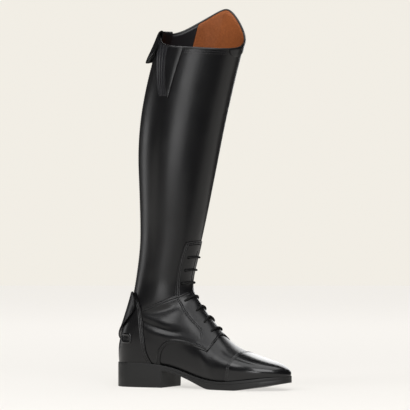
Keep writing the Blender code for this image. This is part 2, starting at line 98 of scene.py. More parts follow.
# The sole from above: distance from the heel, middle of the width, half the width
OUTLINE = (
    (0, 0, 31.0), (20, 0, 31.0), (45, 0, 31.4), (70, 0.5, 30.6), (95, 2.0, 30.0), (120, 3.5, 32.5),
    (145, 4.0, 38.5), (170, 3.0, 44.4), (195, 1.0, 46.2), (218, -1.5, 42.8), (240, -3.5, 36.0),
    (257, -4.5, 30.0), (270, -5.0, 25.5),
)

# Sections of the skin, each a plane through a front point on the ridge and a back point, which lies on
# the sole's edge as far as the row "heel"
COLUMNS = ("front_x", "front_z", "ridge_y", "back_x", "back_z", "half", "peak", "front_power", "back_power")
SECTIONS = (
    ("toe", 268.4, 31.4, -5.0, 268.4, 0, 23.2, 0.70, 2.4, 2.0),
    ("toe_cap", 252, 35.8, -5.0, 252, 0, 30.0, 0.70, 2.4, 2.0),
    ("toe_joint", 233, 41.4, -4.5, 233, 0, 37.2, 0.70, 2.4, 2.0),
    ("cap_middle", 212, 47.4, -4.0, 212, 0, 42.6, 0.70, 2.3, 2.0),
    ("cap_seam", 191, 55.0, -3.5, 190, 0, 44.4, 0.70, 2.2, 2.0),
    ("ball", 177, 62.6, -3.0, 168, 0, 43.4, 0.70, 2.1, 2.0),
    ("throat", 163, 74.5, -3.0, 142, 0, 39.8, 0.66, 2.0, 2.0),
    ("waist", 151.5, 87.5, -2.5, 114, 0, 37.0, 0.62, 1.95, 2.2),
    ("instep_low", 142, 98.0, -2.0, 86, 0, 36.3, 0.58, 1.95, 2.3),
    ("instep", 134, 107.5, -1.5, 58, 0, 36.5, 0.56, 1.95, 2.2),
    ("instep_high", 127.5, 116.5, -1.0, 30, 0, 36.8, 0.58, 2.0, 2.05),
    ("heel", 122, 123.5, -0.5, 3.3, 34.9, 36.8, 0.61, 2.0, 2.0),
    ("counter", 118, 129.0, 0, 1.6, 52, 36.5, 0.59, 2.0, 2.0),
    ("counter_top", 114.5, 134.0, 0, 7.0, 75, 36.2, 0.55, 2.0, 2.0),
    ("ankle_low", 112.3, 139.0, 0, 14, 99, 36.0, 0.52, 2.0, 1.9),
    ("ankle", 111.5, 146.0, 0, 20, 119, 35.8, 0.50, 2.0, 1.75),
    ("ankle_top", 112.5, 156.0, 0, 24.2, 138, 35.8, 0.49, 2.0, 1.6),
    ("leg_160", 115.5, 169.0, 0, 27.2, 158, 36.2, 0.50, 2.0, 1.5),
    ("leg_180", 120, 185.0, 0, 30.2, 179, 37.0, 0.50, 2.0, 1.45),
    ("leg_200", 125, 205.0, 0, 32.9, 202, 38.5, 0.50, 2.0, 1.45),
    ("leg_230", 131, 230.0, 0, 33.2, 229, 41.0, 0.50, 2.0, 1.45),
    ("leg_260", 137, 258.5, 0, 32.4, 258, 45.0, 0.50, 2.0, 1.45),
    ("leg_290", 143.3, 289.0, 0, 31.4, 289, 48.8, 0.50, 2.0, 1.45),
    ("leg_320", 149.8, 320.0, 0, 29.8, 320, 52.4, 0.50, 2.0, 1.45),
    ("leg_350", 156.2, 351.0, 0, 30.8, 351, 55.0, 0.50, 2.0, 1.45),
    ("leg_380", 163.3, 382.0, 0, 34.0, 382, 56.3, 0.50, 2.0, 1.45),
    ("leg_410", 171, 412.0, 0, 39.8, 412, 57.0, 0.50, 2.0, 1.45),
    ("leg_440", 178.5, 441.0, 0, 47.0, 441, 57.0, 0.50, 2.0, 1.45),
    ("leg_470", 187, 470.0, 0, 55.7, 470, 56.5, 0.50, 2.0, 1.45),
    ("leg_500", 196, 500.0, 0, 64.4, 500, 56.0, 0.50, 2.0, 1.45),
    ("leg_540", 206, 540.0, 0, 77.4, 540, 55.5, 0.50, 2.0, 1.45),
)
SECTION_NAMES = [row[0] for row in SECTIONS]
HEEL = SECTION_NAMES.index("heel")
THROAT = SECTION_NAMES.index("throat")
COUNTER_TOP = SECTION_NAMES.index("counter_top")
LACING_TOP = SECTION_NAMES.index("leg_200")
ANKLE_SEAM = COUNTER_TOP + 0.5
SLIT_END = LACING_TOP - 0.5
RIM_BLEND = SECTION_NAMES.index("leg_410")

# The top line: way round the leg, height
TOP_LINE = (
    (-1.0, 500), (-0.92, 498), (-0.84, 491), (-0.74, 483), (-0.6, 479.5), (-0.4, 477), (-0.2, 475),
    (-0.06, 476), (0.06, 481), (0.16, 491), (0.26, 504), (0.36, 519), (0.44, 531), (0.50, 537.5),
    (0.55, 536), (0.63, 526), (0.73, 514), (0.82, 503.5), (0.92, 500.2), (1.0, 500),
)

# Edges of the panels. Places are (t, share of the way round one side), and side places, named so, are
# (distance from the heel, height) as seen from the side.
CAP_SEAM = (
    (4.15, 1.0), (4.05, 0.79), (4.0, 0.64), (3.82, 0.52), (3.68, 0.3), (3.66, 0.15), (3.68, 0.0),
)
QUARTER_FRONT = ((6.0, 0.036), (5.84, 0.2), (5.8, 0.34), (5.94, 0.515))
QUARTER_ARCH_SIDE = (
    (156.4, 52.3), (145.5, 56.3), (136, 58.9), (125.4, 61.5), (114.3, 63.8), (103, 64.6), (94, 62.5),
    (87, 56), (83, 49), (80.5, 42), (78.6, 36), (78.2, 33.5),
)
QUARTER_TOP_SIDE = (
    (52, 110.6), (59, 112.6), (66.1, 115.2), (80.7, 120.8), (93.7, 126), (103, 129.6),
)
QUARTER_TOP = ((13.2, 0.165), (13.22, 0.1), (13.3, 0.045))
COUNTER_FRONT_SIDE = (
    (65.2, 35.2), (61.8, 43.2), (59.8, 50.8), (58.6, 60.5), (57, 74), (55.3, 87), (53.6, 97.4),
    (52.6, 104.4), (52, 110), (50.2, 116), (46.5, 121), (41, 125), (35, 128.5), (28, 132),
)
QUARTER_ROWS = 9
COUNTER_GROOVE = 1.2
STAY_EDGE = (
    (13.2, 0.19), (13.6, 0.194), (14.9, 0.206), (16.7, 0.225), (18.0, 0.222), (18.9, 0.2),
    (19.0, 0.185),
)
FACING_SIDE = (
    (101, 127), (107, 117), (113.5, 107.4), (121, 99.2), (129, 92), (136, 86), (141, 81.5), (142.6, 77),
    (142.8, 71.6),
)
GORE_FRONT = (
    (25.9, 0.525), (26.3, 0.537), (26.95, 0.562), (27.6, 0.585), (28.4, 0.597), (29.0, 0.6),
)
GORE_BACK = (
    (25.9, 0.6), (26.3, 0.65), (27.0, 0.715), (27.7, 0.79), (28.4, 0.86), (29.0, 0.9),
)
V_FRONT = (
    (25.85, 0.508), (26.5, 0.5), (27.1, 0.494), (27.65, 0.488), (28.26, 0.482),
)
V_BACK = (
    (28.29, 0.598), (28.15, 0.607), (27.6, 0.594), (26.95, 0.565), (26.3, 0.537), (25.85, 0.512),
)

OUTER_GORE_SHIFT = 0.1

# The band under the top line: way round the leg, width
COLLAR_BAND = (
    (-0.115, 1.5), (-0.1, 7.0), (-0.07, 11.0), (-0.02, 12.5), (0.1, 12.5), (0.25, 12.0), (0.4, 12.0),
    (0.52, 12.0), (0.6, 11.0), (0.66, 8.0), (0.69, 1.5),
)

# The lace bars: height where each crosses the ridge, reach to its eyelets, and how far down the eyelets lie
LACES = (
    (84, 15.5, 0.05), (100, 15.5, 0.45), (114.5, 14.2, 0.37), (128.5, 19.5, 0.2), (149, 17.5, 0.03),
    (167, 15.5, 0.03), (185, 15.5, 0.04),
)

# The guard over the foot of the zip: height at the back, half width, how far it stands off
GUARD = (
    (132, 22.0, 2.5), (123, 33.5, 2.6), (113, 43.0, 2.7), (103, 48.0, 2.8), (94, 47.5, 2.9),
    (88, 42.5, 3.1), (82, 32.5, 3.5), (76, 18.5, 4.2), (71, 8.5, 4.9), (66, 0.6, 5.5),
)

# The keeper over the top of the zip: drop below its fold, half width, distance off the skin at its sides,
# and how much further the middle stands off
KEEPER_HEIGHT = 504.0
KEEPER = (
    (20, 17.0, -3.6, 0), (12, 18.0, -3.6, 0), (2, 18.5, -3.4, 0), (0, 18.5, -1.4, 0.2),
    (2, 18.5, 0.9, 0.6), (11, 25.0, 1.3, 1.2), (19, 32.5, 1.8, 1.8), (26, 38.0, 2.4, 2.4),
    (32, 34.0, 3.2, 2.8), (37, 24.0, 4.2, 3.0), (42, 13.0, 6.0, 2.4), (47.5, 0.6, 9.4, 0),
)

# Soft folds on both sides: name, depth (negative is a trough), width, side places
FOLDS = (
    ("ankle_hollow", -1.7, 8.0, ((46, 101.5), (54, 102.5), (66, 105), (80, 108), (92, 110), (104, 110))),
    ("ankle_ridge_high", 1.1, 5.5, ((46, 103.5), (54, 101), (66, 96.5), (80, 92.5), (96, 89.5), (112, 87))),
    ("ankle_trough", -1.4, 5.5, ((47, 98), (55, 94.5), (66, 89.5), (80, 84), (96, 80), (114, 77))),
    (
        "ankle_ridge_low",
        1.2,
        6.0,
        ((50, 90), (58, 86), (69, 80.5), (82, 76), (98, 72.5), (116, 70), (134, 67)),
    ),
    ("vamp_ridge", 1.2, 7.0, ((142, 60), (149, 50), (155, 40), (160, 31), (164, 22))),
    ("vamp_wave", -0.6, 8.0, ((180, 60), (174, 48), (169, 36), (165, 24))),
    ("shin_wave", -0.6, 14.0, ((104, 152), (84, 150), (62, 147), (40, 145))),
)

# Stage in metres
CAMERA_TURN = 27.0
CAMERA_DISTANCE = 4.3
VIEW_WIDTH = 0.5781
TARGET = (0.095, 0.0, 0.2578)
FLOOR_AHEAD, WALL_AT, WALL_HEIGHT, STAGE_HALF = 8.0, 5.4, 8.0, 9.0

# The floor that shows in the leather: how near and how far, its full breadth's right end, and how near it
# comes beyond that end
FLOOR_NEAR = (0.9, 1.0)
FLOOR_RIGHT = 0.35
FLOOR_SIDE = -0.45
SKY = 0.03
WALL_COLOUR = (0.862, 0.83, 0.762)
PAPER = (0.2, 0.196, 0.188)
FLOOR_GLOW = (1.0, 0.972, 0.93)

# The floor's glow: from this depth to that, from this strength to that
GLOW_RANGE = (0.0, 2.4, 0.635, 0.76)

# Lights: name, place and aim (right of the boot, towards the camera, up), (width, height), power
LIGHTS = (
    ("key", (-1.6, 5.2, 0.48), (0.0, 0.0, 0.3), (2.5, 0.92), 56),
    ("card", (-0.6, 1.8, 0.02), (-0.6, 1.8, 2.0), (0.9, 1.6), 21),
    ("front", (0.3, 3.0, 2.1), (0.0, 0.0, 0.2), (3.0, 2.4), 135),
    ("top", (0.0, 0.2, 3.2), (0.0, 0.0, 0.0), (4.0, 3.0), 100),
    ("side", (-2.8, 1.6, 3.0), (0.0, 0.0, 0.1), (2.0, 1.6), 60),
    ("rim", (-3.0, -2.5, 0.3), (0.0, 0.0, 0.25), (0.9, 1.2), 5),
    ("fill", (0.8, -3.8, 1.3), (0.0, 0.0, 0.25), (2.4, 2.0), 40),
)


def spline(rows, at):
    """Smooth uniform cubic through the neighbourhood of the rows, exact at both ends."""
    rows = np.asarray(rows, float)
    padded = np.vstack([2 * rows[0] - rows[1], rows, 2 * rows[-1] - rows[-2]])
    at = np.atleast_1d(np.asarray(at, float))
    first = np.clip(np.floor(at).astype(int), 0, len(rows) - 2)
    f = (at - first)[:, None]
    return (
        padded[first] * (1 - f) ** 3
        + padded[first + 1] * (3 * f**3 - 6 * f**2 + 4)
        + padded[first + 2] * (3 * f + 3 * f**2 - 3 * f**3 + 1)
        + padded[first + 3] * f**3
    ) / 6


def dense(rows, points_a_row=40):
    return spline(rows, np.linspace(0, len(rows) - 1, points_a_row * len(rows)))


SEAT_CURVE = dense(SEAT)
UNDERSIDE_CURVE = dense(UNDERSIDE)
OUTLINE_CURVE = dense(OUTLINE)
TOP_LINE_CURVE = dense(TOP_LINE)


def seat_height(x):
    return np.interp(x, SEAT_CURVE[:, 0], SEAT_CURVE[:, 1])


def underside_height(x):
    return np.interp(x, UNDERSIDE_CURVE[:, 0], UNDERSIDE_CURVE[:, 1])


def rounding(distance, length, power):
    """Falls from 1 to 0 along a rounded end of that length."""
    return (1 - np.clip(distance / length, 0, 1) ** power) ** (1 / power)


def outline(x, inset, toe_inset):
    """Middle and half width of the sole's outline, drawn in by inset, and by toe_inset at the toe's end."""
    middle, half = (np.interp(x, OUTLINE_CURVE[:, 0], OUTLINE_CURVE[:, i]) for i in (1, 2))
    heel = rounding(HEEL_ROUND - x, HEEL_ROUND - inset, 2)
    toe = rounding(x - TOE_ROUND_START, SOLE_LENGTH - toe_inset - TOE_ROUND_START, TOE_ROUND_POWER)
    return middle, (half - inset) * heel * toe


SHAPE = np.array([row[1:] for row in SECTIONS], float)


def row_spans():
    """The distance from front to back of each row of the table."""
    front_x, front_z, back_x, back_z = (
        SHAPE[:, COLUMNS.index(name)] for name in ("front_x", "front_z", "back_x", "back_z")
    )
    on_sole = np.arange(len(SHAPE)) < HEEL
    return np.hypot(front_x - back_x, front_z - np.where(on_sole, seat_height(back_x) + SEAT_GAP, back_z))


SPANS = row_spans()[:, None]


def section_values(t):
    """The sizes of the section t rows along the table, by column name, with its edge on the sole. The widest
    place runs on smoothly past the heel, where the back turns from the sole up the leg."""
    s = dict(zip(COLUMNS, spline(SHAPE, t)[0]))
    back = SHAPE[:, [COLUMNS.index("back_x"), COLUMNS.index("back_z")]]
    if t < HEEL:
        s["back_x"] = spline(back[: HEEL + 1], t)[0, 0]
        s["back_z"] = seat_height(s["back_x"]) + SEAT_GAP
        s["back_y"], s["edge"] = outline(s["back_x"], SOLE_LIP, TOE_LIP)
    else:
        s["back_x"], s["back_z"] = spline(back[HEEL:], t - HEEL)[0]
        s["back_y"], s["edge"] = 0.0, 0.0
    toe_end = SOLE_LENGTH - TOE_LIP
    if s["front_x"] > TOE_ROUND_START:
        s["half"] *= rounding(s["back_x"] - TOE_ROUND_START, toe_end - TOE_ROUND_START, TOE_ROUND_POWER)
        crown = rounding(s["front_x"] - TOE_CROWN_START, toe_end - TOE_CROWN_START, TOE_CROWN_POWER)
        s["front_z"] = s["back_z"] + (s["front_z"] - s["back_z"]) * crown
    if t >= THROAT:
        s["peak"] *= spline(SPANS, t)[0, 0] / np.hypot(s["front_x"] - s["back_x"], s["front_z"] - s["back_z"])
    s["edge"] = min(s["edge"], s["half"])
    return s


def half_section(t, side, samples=60, least_cut=0.05):
    """One side of a section as points, from the ridge round to the back."""
    s = section_values(t)
    n, m, peak = s["front_power"], s["back_power"], s["peak"]
    turn = np.linspace(0, math.pi / 2, samples)
    front_along = peak * (1 - np.cos(turn).clip(0) ** (2 / n))
    front_out = s["half"] * np.sin(turn) ** (2 / n)
    edge_share = s["edge"] / max(s["half"], 1e-6)
    cut = max((1 - edge_share**m) ** (1 / m), least_cut)
    turn = np.linspace(0, math.asin(cut ** (m / 2)), samples)[1:]
    back_along = peak + (1 - peak) * np.sin(turn) ** (2 / m) / cut
    back_out = s["half"] * np.cos(turn).clip(0) ** (2 / m)
    along = np.concatenate([front_along, back_along])
    out = np.concatenate([front_out, back_out])
    x = s["front_x"] + along * (s["back_x"] - s["front_x"])
    z = s["front_z"] + along * (s["back_z"] - s["front_z"])
    y = s["ridge_y"] + along * (s["back_y"] - s["ridge_y"]) + side * out
    return np.column_stack([x, y, z])


def lengths_along(points):
    steps = np.linalg.norm(np.diff(points, axis=0), axis=1)
    return np.concatenate([[0], np.cumsum(steps)])


def spread(points, shares):
    """Points at these shares of the length of a run of points."""
    total = lengths_along(points)
    return np.column_stack([np.interp(np.asarray(shares) * total[-1], total, p) for p in points.T])


def fold_height(points, line, width):
    """The share of a fold's depth at each point: all on its line, fading over its width and to its ends."""
    height = np.zeros(points.shape[:-1])
    near = ((points > line.min(0) - 3 * width) & (points < line.max(0) + 3 * width)).all(-1)
    places = points[near]
    best = np.zeros(len(places))
    for place, share in zip(line, np.linspace(-1, 1, len(line))):
        closeness = np.exp(-((places - place) ** 2).sum(1) / width**2)
        best = np.maximum(best, (1 - abs(share) ** 3) * closeness)
    height[near] = best
    return height


def distance_to_line(points, line):
    """Shortest distance of each point from a run of points."""
    best = np.full(points.shape[:-1], np.inf)
    for a, b in zip(line[:-1], line[1:]):
        along = b - a
        f = np.clip(((points - a) @ along) / max(along @ along, 1e-9), 0, 1)
        best = np.minimum(best, np.linalg.norm(points - a - f[..., None] * along, axis=-1))
    return best


class Skin:
    """The boot's outer skin as a fine table of places, with the folds pressed into it."""

    def __init__(self):
        nose = np.array((0, 0.002, 0.006, 0.012, 0.02, 0.03, 0.045, 0.065, 0.09, 0.12, 0.16))
        step, columns = 0.05, 281
        even = np.round(np.arange(0.2, len(SECTIONS) - 1 + 0.001, step), 3)
        self.rows = np.sort(np.concatenate([nose, even, HEEL - np.array(HEEL_STEPS)]))
        ways, raw, self.half_length, self.edge_share = {}, {}, {}, {}
        start = HEEL - HEEL_BLEND
        for side, _ in SIDES:
            runs = [half_section(t, side) for t in self.rows]
            lengths = np.array([lengths_along(run) for run in runs])
            ends = np.interp([start, HEEL], self.rows, lengths[:, -1])
            even_out = np.interp(self.rows, [start, HEEL], ends)
            blended = (self.rows > start) & (self.rows < HEEL)
            self.half_length[side] = np.where(blended, even_out, lengths[:, -1])
            ways[side] = lengths / self.half_length[side][:, None]
            self.edge_share[side] = np.minimum(ways[side][:, -1], 1.0)
            raw[side] = np.array(runs)
        ways = np.hstack([-ways[INNER_SIDE][:, ::-1], ways[OUTER_SIDE][:, 1:]])
        raw = np.concatenate([raw[INNER_SIDE][:, ::-1], raw[OUTER_SIDE][:, 1:]], axis=1)
        self.ways = np.linspace(-1, 1, columns)
        spread_out = [[np.interp(self.ways, way, axis) for axis in run.T] for way, run in zip(ways, raw)]
        self.points = np.array(spread_out).transpose(0, 2, 1)
        self.find_normals()
        height = np.zeros(self.points.shape[:2])
        for _, depth, width, side_places in FOLDS:
            for side, _ in SIDES:
                line = self.at(*self.find(dense(side_places, 12), side).T)
                height += depth * fold_height(self.points, line, width)
        self.points = self.points + self.normals * height[..., None]
        self.find_normals()

    def find_normals(self):
        up, across = np.gradient(self.points, axis=0), np.gradient(self.points, axis=1)
        normals = np.cross(across, up)
        normals[0] = normals[1]
        closed = self.rows >= HEEL
        normals[closed, 0] = normals[closed, -1] = normals[closed, 0] + normals[closed, -1]
        for row in np.flatnonzero(self.edge_share[OUTER_SIDE] < 0.999):
            first = np.searchsorted(self.ways, -self.edge_share[INNER_SIDE][row]) + 1
            last = np.searchsorted(self.ways, self.edge_share[OUTER_SIDE][row]) - 2
            normals[row, :first] = normals[row, first]
            normals[row, last + 1 :] = normals[row, last]
        self.normals = normals / np.maximum(np.linalg.norm(normals, axis=-1, keepdims=True), 1e-9)

    def to_edge(self, run, side):
        """A run of places with its way round counted as a share of the way to the sole's edge."""
        share = np.interp(run[:, 0], self.rows, self.edge_share[side])
        return np.column_stack([run[:, 0], run[:, 1] * share])

    def at(self, t, q, off=0.0):
        """Points at places (t, q), that far off the skin. q may run on past the back."""
        t, q, off = np.broadcast_arrays(np.asarray(t, float), np.asarray(q, float), np.asarray(off, float))
        q = np.where(q > 1, q - 2, np.where(q < -1, q + 2, q))
        i = np.clip(np.searchsorted(self.rows, t, side="right") - 1, 0, len(self.rows) - 2)
        f = ((t - self.rows[i]) / (self.rows[i + 1] - self.rows[i]))[..., None]
        g = (q + 1) / 2 * (self.points.shape[1] - 1)
        j = np.clip(np.floor(g).astype(int), 0, self.points.shape[1] - 2)
        g = (g - j)[..., None]

        def mix(table):
            low = table[i, j] * (1 - g) + table[i, j + 1] * g
            high = table[i + 1, j] * (1 - g) + table[i + 1, j + 1] * g
            return low * (1 - f) + high * f

        normal = mix(self.normals)
        normal = normal / np.maximum(np.linalg.norm(normal, axis=-1, keepdims=True), 1e-9)
        return mix(self.points) + normal * off[..., None]

    def normal(self, t, q):
        return self.at(t, q, 1.0) - self.at(t, q, 0.0)

    def find(self, side_places, side):
        """The places (t, q) of one side that lie at these distances from the heel and heights."""
        side_places = np.asarray(side_places, float)
        middle = self.points.shape[1] // 2
        columns = np.arange(0, middle + 1, 2) if side == INNER_SIDE else np.arange(middle, 2 * middle + 1, 2)
        rows = np.arange(0, len(self.rows), 2)
        table = self.points[rows][:, columns]
        places = []
        for x, z in side_places:
            miss = np.hypot(table[..., 0] - x, table[..., 2] - z)
            i, j = np.unravel_index(int(miss.argmin()), miss.shape)
            places.append((self.rows[rows[i]], columns[j] / middle - 1))
        t, q = np.array(places).T
        dt, dq = 0.01, 0.003
        low, high = (-1.0, 0.0) if side == INNER_SIDE else (0.0, 1.0)
        for _ in range(8):
            here = self.at(t, q)[:, [0, 2]]
            by_t = (self.at(t + dt, q)[:, [0, 2]] - here) / dt
            by_q = (self.at(t, np.clip(q + dq, low, high))[:, [0, 2]] - here) / dq
            left = side_places - here
            det = by_t[:, 0] * by_q[:, 1] - by_t[:, 1] * by_q[:, 0]
            det = np.where(np.abs(det) < 1e-3, 1e9, det)
            t = t + np.clip((left[:, 0] * by_q[:, 1] - left[:, 1] * by_q[:, 0]) / det, -0.3, 0.3)
            q = q + np.clip((by_t[:, 0] * left[:, 1] - by_t[:, 1] * left[:, 0]) / det, -0.05, 0.05)
            q = np.clip(q, low, high)
        return np.column_stack([t, q])

    def share_of(self, t, distance, side=INNER_SIDE):
        """The share of the way round one side that this distance is, at section t."""
        return distance / np.interp(t, self.rows, self.half_length[side])

    def shift(self, t, q, direction, distance):
        """Places moved along the skin by a distance in a direction in space, one for each place."""
        dt, dq = 0.004, 0.002
        goal = self.at(t, q) + direction * distance
        for _ in range(6):
            by_t = (self.at(t + dt, q) - self.at(t - dt, q)) / (2 * dt)
            by_q = (self.at(t, q + dq) - self.at(t, q - dq)) / (2 * dq)
            left = goal - self.at(t, q)
            a, b, c = (by_t * by_t).sum(1), (by_t * by_q).sum(1), (by_q * by_q).sum(1)
            u, v = (by_t * left).sum(1), (by_q * left).sum(1)
            det = np.maximum(a * c - b * b, 1e-9)
            t = t + np.clip((c * u - b * v) / det, -0.2, 0.2)
            q = q + np.clip((a * v - b * u) / det, -0.05, 0.05)
        for side, _ in SIDES:
            lost = (np.linalg.norm(goal - self.at(t, q), axis=1) > 0.6) & (np.sign(q) == side)
            if lost.any():
                t[lost], q[lost] = self.find(goal[lost][:, [0, 2]], side).T
        return t, q


skin = Skin()
STEPS = np.linspace(THROAT, len(SECTIONS) - 1, 1500)
LINES = [section_values(t) for t in STEPS]


def section_at(height, line):
    """How far along the table the front or the back line reaches this height."""
    kept = STEPS >= (HEEL if line == "back" else THROAT)
    heights = np.array([s[line + "_z"] for s in LINES])
    return np.interp(height, heights[kept], STEPS[kept])


def rim_section(q):
    """The section of the top line at this way round the leg."""
    return section_at(np.interp(q, TOP_LINE_CURVE[:, 0], TOP_LINE_CURVE[:, 1]), "front")


# Materials: key, name, colour, roughness, specular level, and the bump's scale, strength, depth and detail
MATERIAL_TABLE = (
    ("leather", "black_leather", (0.003, 0.003, 0.0034), 0.36, 0.28, 900, 0.05, 0.0004, 3),
    ("cap", "polished_leather", (0.003, 0.003, 0.0034), 0.24, 0.32, 900, 0.03, 0.0004, 3),
    # Cut edge: matte and darker than the leather, partly the dyed edge and partly painted shade for the
    # shadow line along each panel's edge
    ("edge", "cut_edge_with_painted_shade", (0.002, 0.002, 0.002), 0.9, 0.1, 2500, 0.3, 0.0003, 3),
    ("rubber", "black_rubber", (0.011, 0.011, 0.011), 0.5, 0.25, 1500, 0.08, 0.0003, 3),
    ("lining", "tan_lining", (0.165, 0.047, 0.0125), 0.65, 0.15, 420, 0.3, 0.0006, 6),
    ("elastic", "black_elastic", (0.007, 0.007, 0.008), 0.36, 0.25, 1800, 0.15, 0.0004, 3),
    ("thread", "black_thread", (0.012, 0.012, 0.013), 0.5, 0.5, 5000, 0.3, 0.0002, 3),
    ("lace", "black_lace", (0.003, 0.003, 0.003), 0.8, 0.2, 2200, 0.4, 0.0004, 3),
    ("tape", "zip_tape", (0.006, 0.006, 0.006), 0.75, 0.2, 2200, 0.3, 0.0003, 3),
    ("teeth", "zip_teeth", (0.01, 0.01, 0.011), 0.3, 0.5, 0, 0, 0, 0),
    # Eyelet holes: matte near-black, painted shade for the hole round each lace
    ("hole", "eyelet_hole_painted_shade", (0.002, 0.002, 0.002), 0.9, 0.1, 2500, 0.3, 0.0003, 3),
)

# The polish on the leather: key, coat weight, coat roughness
COATS = (("leather", 0.08, 0.2), ("cap", 0.2, 0.12))

# Roughness that wanders softly over the piece: key, scale, lowest, highest
WANDERING = (
    ("leather", 30, 0.29, 0.35),
    ("cap", 30, 0.21, 0.27),
    ("rubber", 40, 0.45, 0.56),
    ("lining", 60, 0.55, 0.7),
    ("teeth", 200, 0.25, 0.4),
)
LINING_MOTTLE = 420
LINING_COLOURS = ((0.142, 0.04, 0.0098), (0.184, 0.0525, 0.0138))


def shader_of(name, colour, roughness, **sockets):
    material = bpy.data.materials.new(name)
    material.use_nodes = True
    shader = material.node_tree.nodes["Principled BSDF"]
    shader.inputs["Base Color"].default_value = (*colour, 1)
    shader.inputs["Roughness"].default_value = roughness
    for socket, value in sockets.items():
        shader.inputs[socket.replace("_", " ")].default_value = value
    return material, shader


def set_range(node, *values):
    for name, value in zip(("From Min", "From Max", "To Min", "To Max"), values):
        node.inputs[name].default_value = value


def add_noise(material, scale, detail, kind):
    """A new node of that kind, fed by a noise over the piece."""
    nodes, links = material.node_tree.nodes, material.node_tree.links
    place, noise, fed = (nodes.new(f"ShaderNode{name}") for name in ("TexCoord", "TexNoise", kind))
    noise.inputs["Scale"].default_value = scale
    noise.inputs["Detail"].default_value = detail
    links.new(place.outputs["Object"], noise.inputs["Vector"])
    links.new(noise.outputs[0], fed.inputs["Height" if kind == "Bump" else 0])
    return fed


def make_materials():
    made, links, shaders = {}, {}, {}
    for key, name, colour, roughness, specular, scale, strength, depth, detail in MATERIAL_TABLE:
        made[key], shaders[key] = shader_of(name, colour, roughness, Specular_IOR_Level=specular)
        links[key] = made[key].node_tree.links
        if strength:
            bump = add_noise(made[key], scale, detail, "Bump")
            bump.inputs["Strength"].default_value = strength
            bump.inputs["Distance"].default_value = depth
            links[key].new(bump.outputs["Normal"], shaders[key].inputs["Normal"])
    for key, weight, roughness in COATS:
        shaders[key].inputs["Coat Weight"].default_value = weight
        shaders[key].inputs["Coat Roughness"].default_value = roughness
    for key, scale, low, high in WANDERING:
        ramp = add_noise(made[key], scale, 4, "MapRange")
        set_range(ramp, 0.35, 0.65, low, high)
        links[key].new(ramp.outputs["Result"], shaders[key].inputs["Roughness"])
    ramp = add_noise(made["lining"], LINING_MOTTLE, 6, "ValToRGB")
    for stop, position, colour in zip(ramp.color_ramp.elements, (0.36, 0.64), LINING_COLOURS):
        stop.position = position
        stop.color = (*colour, 1)
    links["lining"].new(ramp.outputs["Color"], shaders["lining"].inputs["Base Color"])
    return made


MATERIALS = make_materials()


# Pieces


def add_piece(name, points, faces, material, replaces=(), flat=False, merge=0.0, cut_faces=0):
    """A piece from points in millimetres, riding on the boot. Its last cut_faces faces are a cut edge, in a
    matte darker finish that is partly painted shade for the edge's shadow line.
    """
    mesh = bpy.data.meshes.new(name)
    places = (np.asarray(points, float) - (HEEL_CENTRE, 0, 0)) * MM
    mesh.from_pydata([tuple(p) for p in places], [], [tuple(int(i) for i in face) for face in faces])
    if merge:
        shape = bmesh.new()
        shape.from_mesh(mesh)
        bmesh.ops.remove_doubles(shape, verts=shape.verts, dist=merge * MM)
        bmesh.ops.dissolve_degenerate(shape, edges=shape.edges, dist=1e-7)
        shape.to_mesh(mesh)
        shape.free()
    mesh.update()
    if not flat:
        mesh.shade_smooth()
    obj = bpy.data.objects.new(name, mesh)
    bpy.context.scene.collection.objects.link(obj)
    mesh.materials.append(MATERIALS[material])
    # The cut faces take the matte dark edge finish, partly painted shade for the shadow line along the edge
    if cut_faces:
        mesh.materials.append(MATERIALS["edge"])
        for face in mesh.polygons[-cut_faces:]:
            face.material_index = 1
        mesh.set_sharp_from_angle(angle=math.radians(50))
        obj.modifiers.new("normals", "WEIGHTED_NORMAL").keep_sharp = True
    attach(obj, "root")
    if replaces:
        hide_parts(*replaces)
    return obj


def thicken(obj, thickness, offset=-1.0):
    shell = obj.modifiers.new("wall", "SOLIDIFY")
    shell.thickness = thickness * MM
    shell.offset = offset


def grid_faces(rows, columns, start=0, flip=False):
    faces = []
    for i in range(rows - 1):
        for j in range(columns - 1):
            a = start + i * columns + j
            face = (a, a + 1, a + columns + 1, a + columns)
            faces.append(face[::-1] if flip else face)
    return faces


def ring_faces(rings, count, start=0, flip=False):
    """Faces between closed rings of points that follow each other."""
    faces = []
    for k in range(rings - 1):
        for i in range(count):
            a, b = start + k * count + i, start + k * count + (i + 1) % count
            faces.append((a, a + count, b + count, b) if flip else (a, b, b + count, a + count))
    return faces


def circle(centre, one, two, radius, count):
    """Points round a centre in the plane of two directions."""
    turn = np.linspace(0, 2 * math.pi, count, endpoint=False)
    return centre + radius * (np.cos(turn)[:, None] * one + np.sin(turn)[:, None] * two)


def halves(name, rows, first, last, off, material, columns=70, replaces=()):
    """A wall over both sides. Each row is a function that gives its section at q, and first and last give the
    share of a side where the wall starts and ends at a section."""
    points, faces = [], []
    for side, _ in SIDES:
        start = len(points)
        for row in rows:
            guess = row(side * np.linspace(0, 1, columns))
            low, high = first(guess), last(guess)
            share = low + (high - low) * np.linspace(0, 1, columns)
            points += list(skin.at(row(side * share), side * share, off))
        faces += grid_faces(len(rows), columns, start, flip=side == INNER_SIDE)
    return add_piece(name, points, faces, material, replaces, merge=0.02)


def level(t):
    return lambda q: np.full(np.shape(q), float(t))


def up_to_rim(share):
    """A row that lies that share of the way from the level rows to the top line."""
    return lambda q: RIM_BLEND + (rim_section(q) - BINDING_SINK - RIM_BLEND) * share


def slit_share(t, half):
    """The share of a side that a slit of that half width takes at each section."""
    return np.where((t >= THROAT) & (t <= SLIT_END), skin.share_of(t, half), 0.0)


def throat_gap(t):
    return slit_share(t, THROAT_HALF_GAP)


def lining_gap(t):
    return slit_share(t, LINING_HALF_GAP)


def tan_end(t):
    return np.full(t.shape, TAN_END)


def back_edge(t):
    return np.where(t >= COUNTER_TOP, 1 - skin.share_of(t, ZIP_HALF_GAP), 1.0)


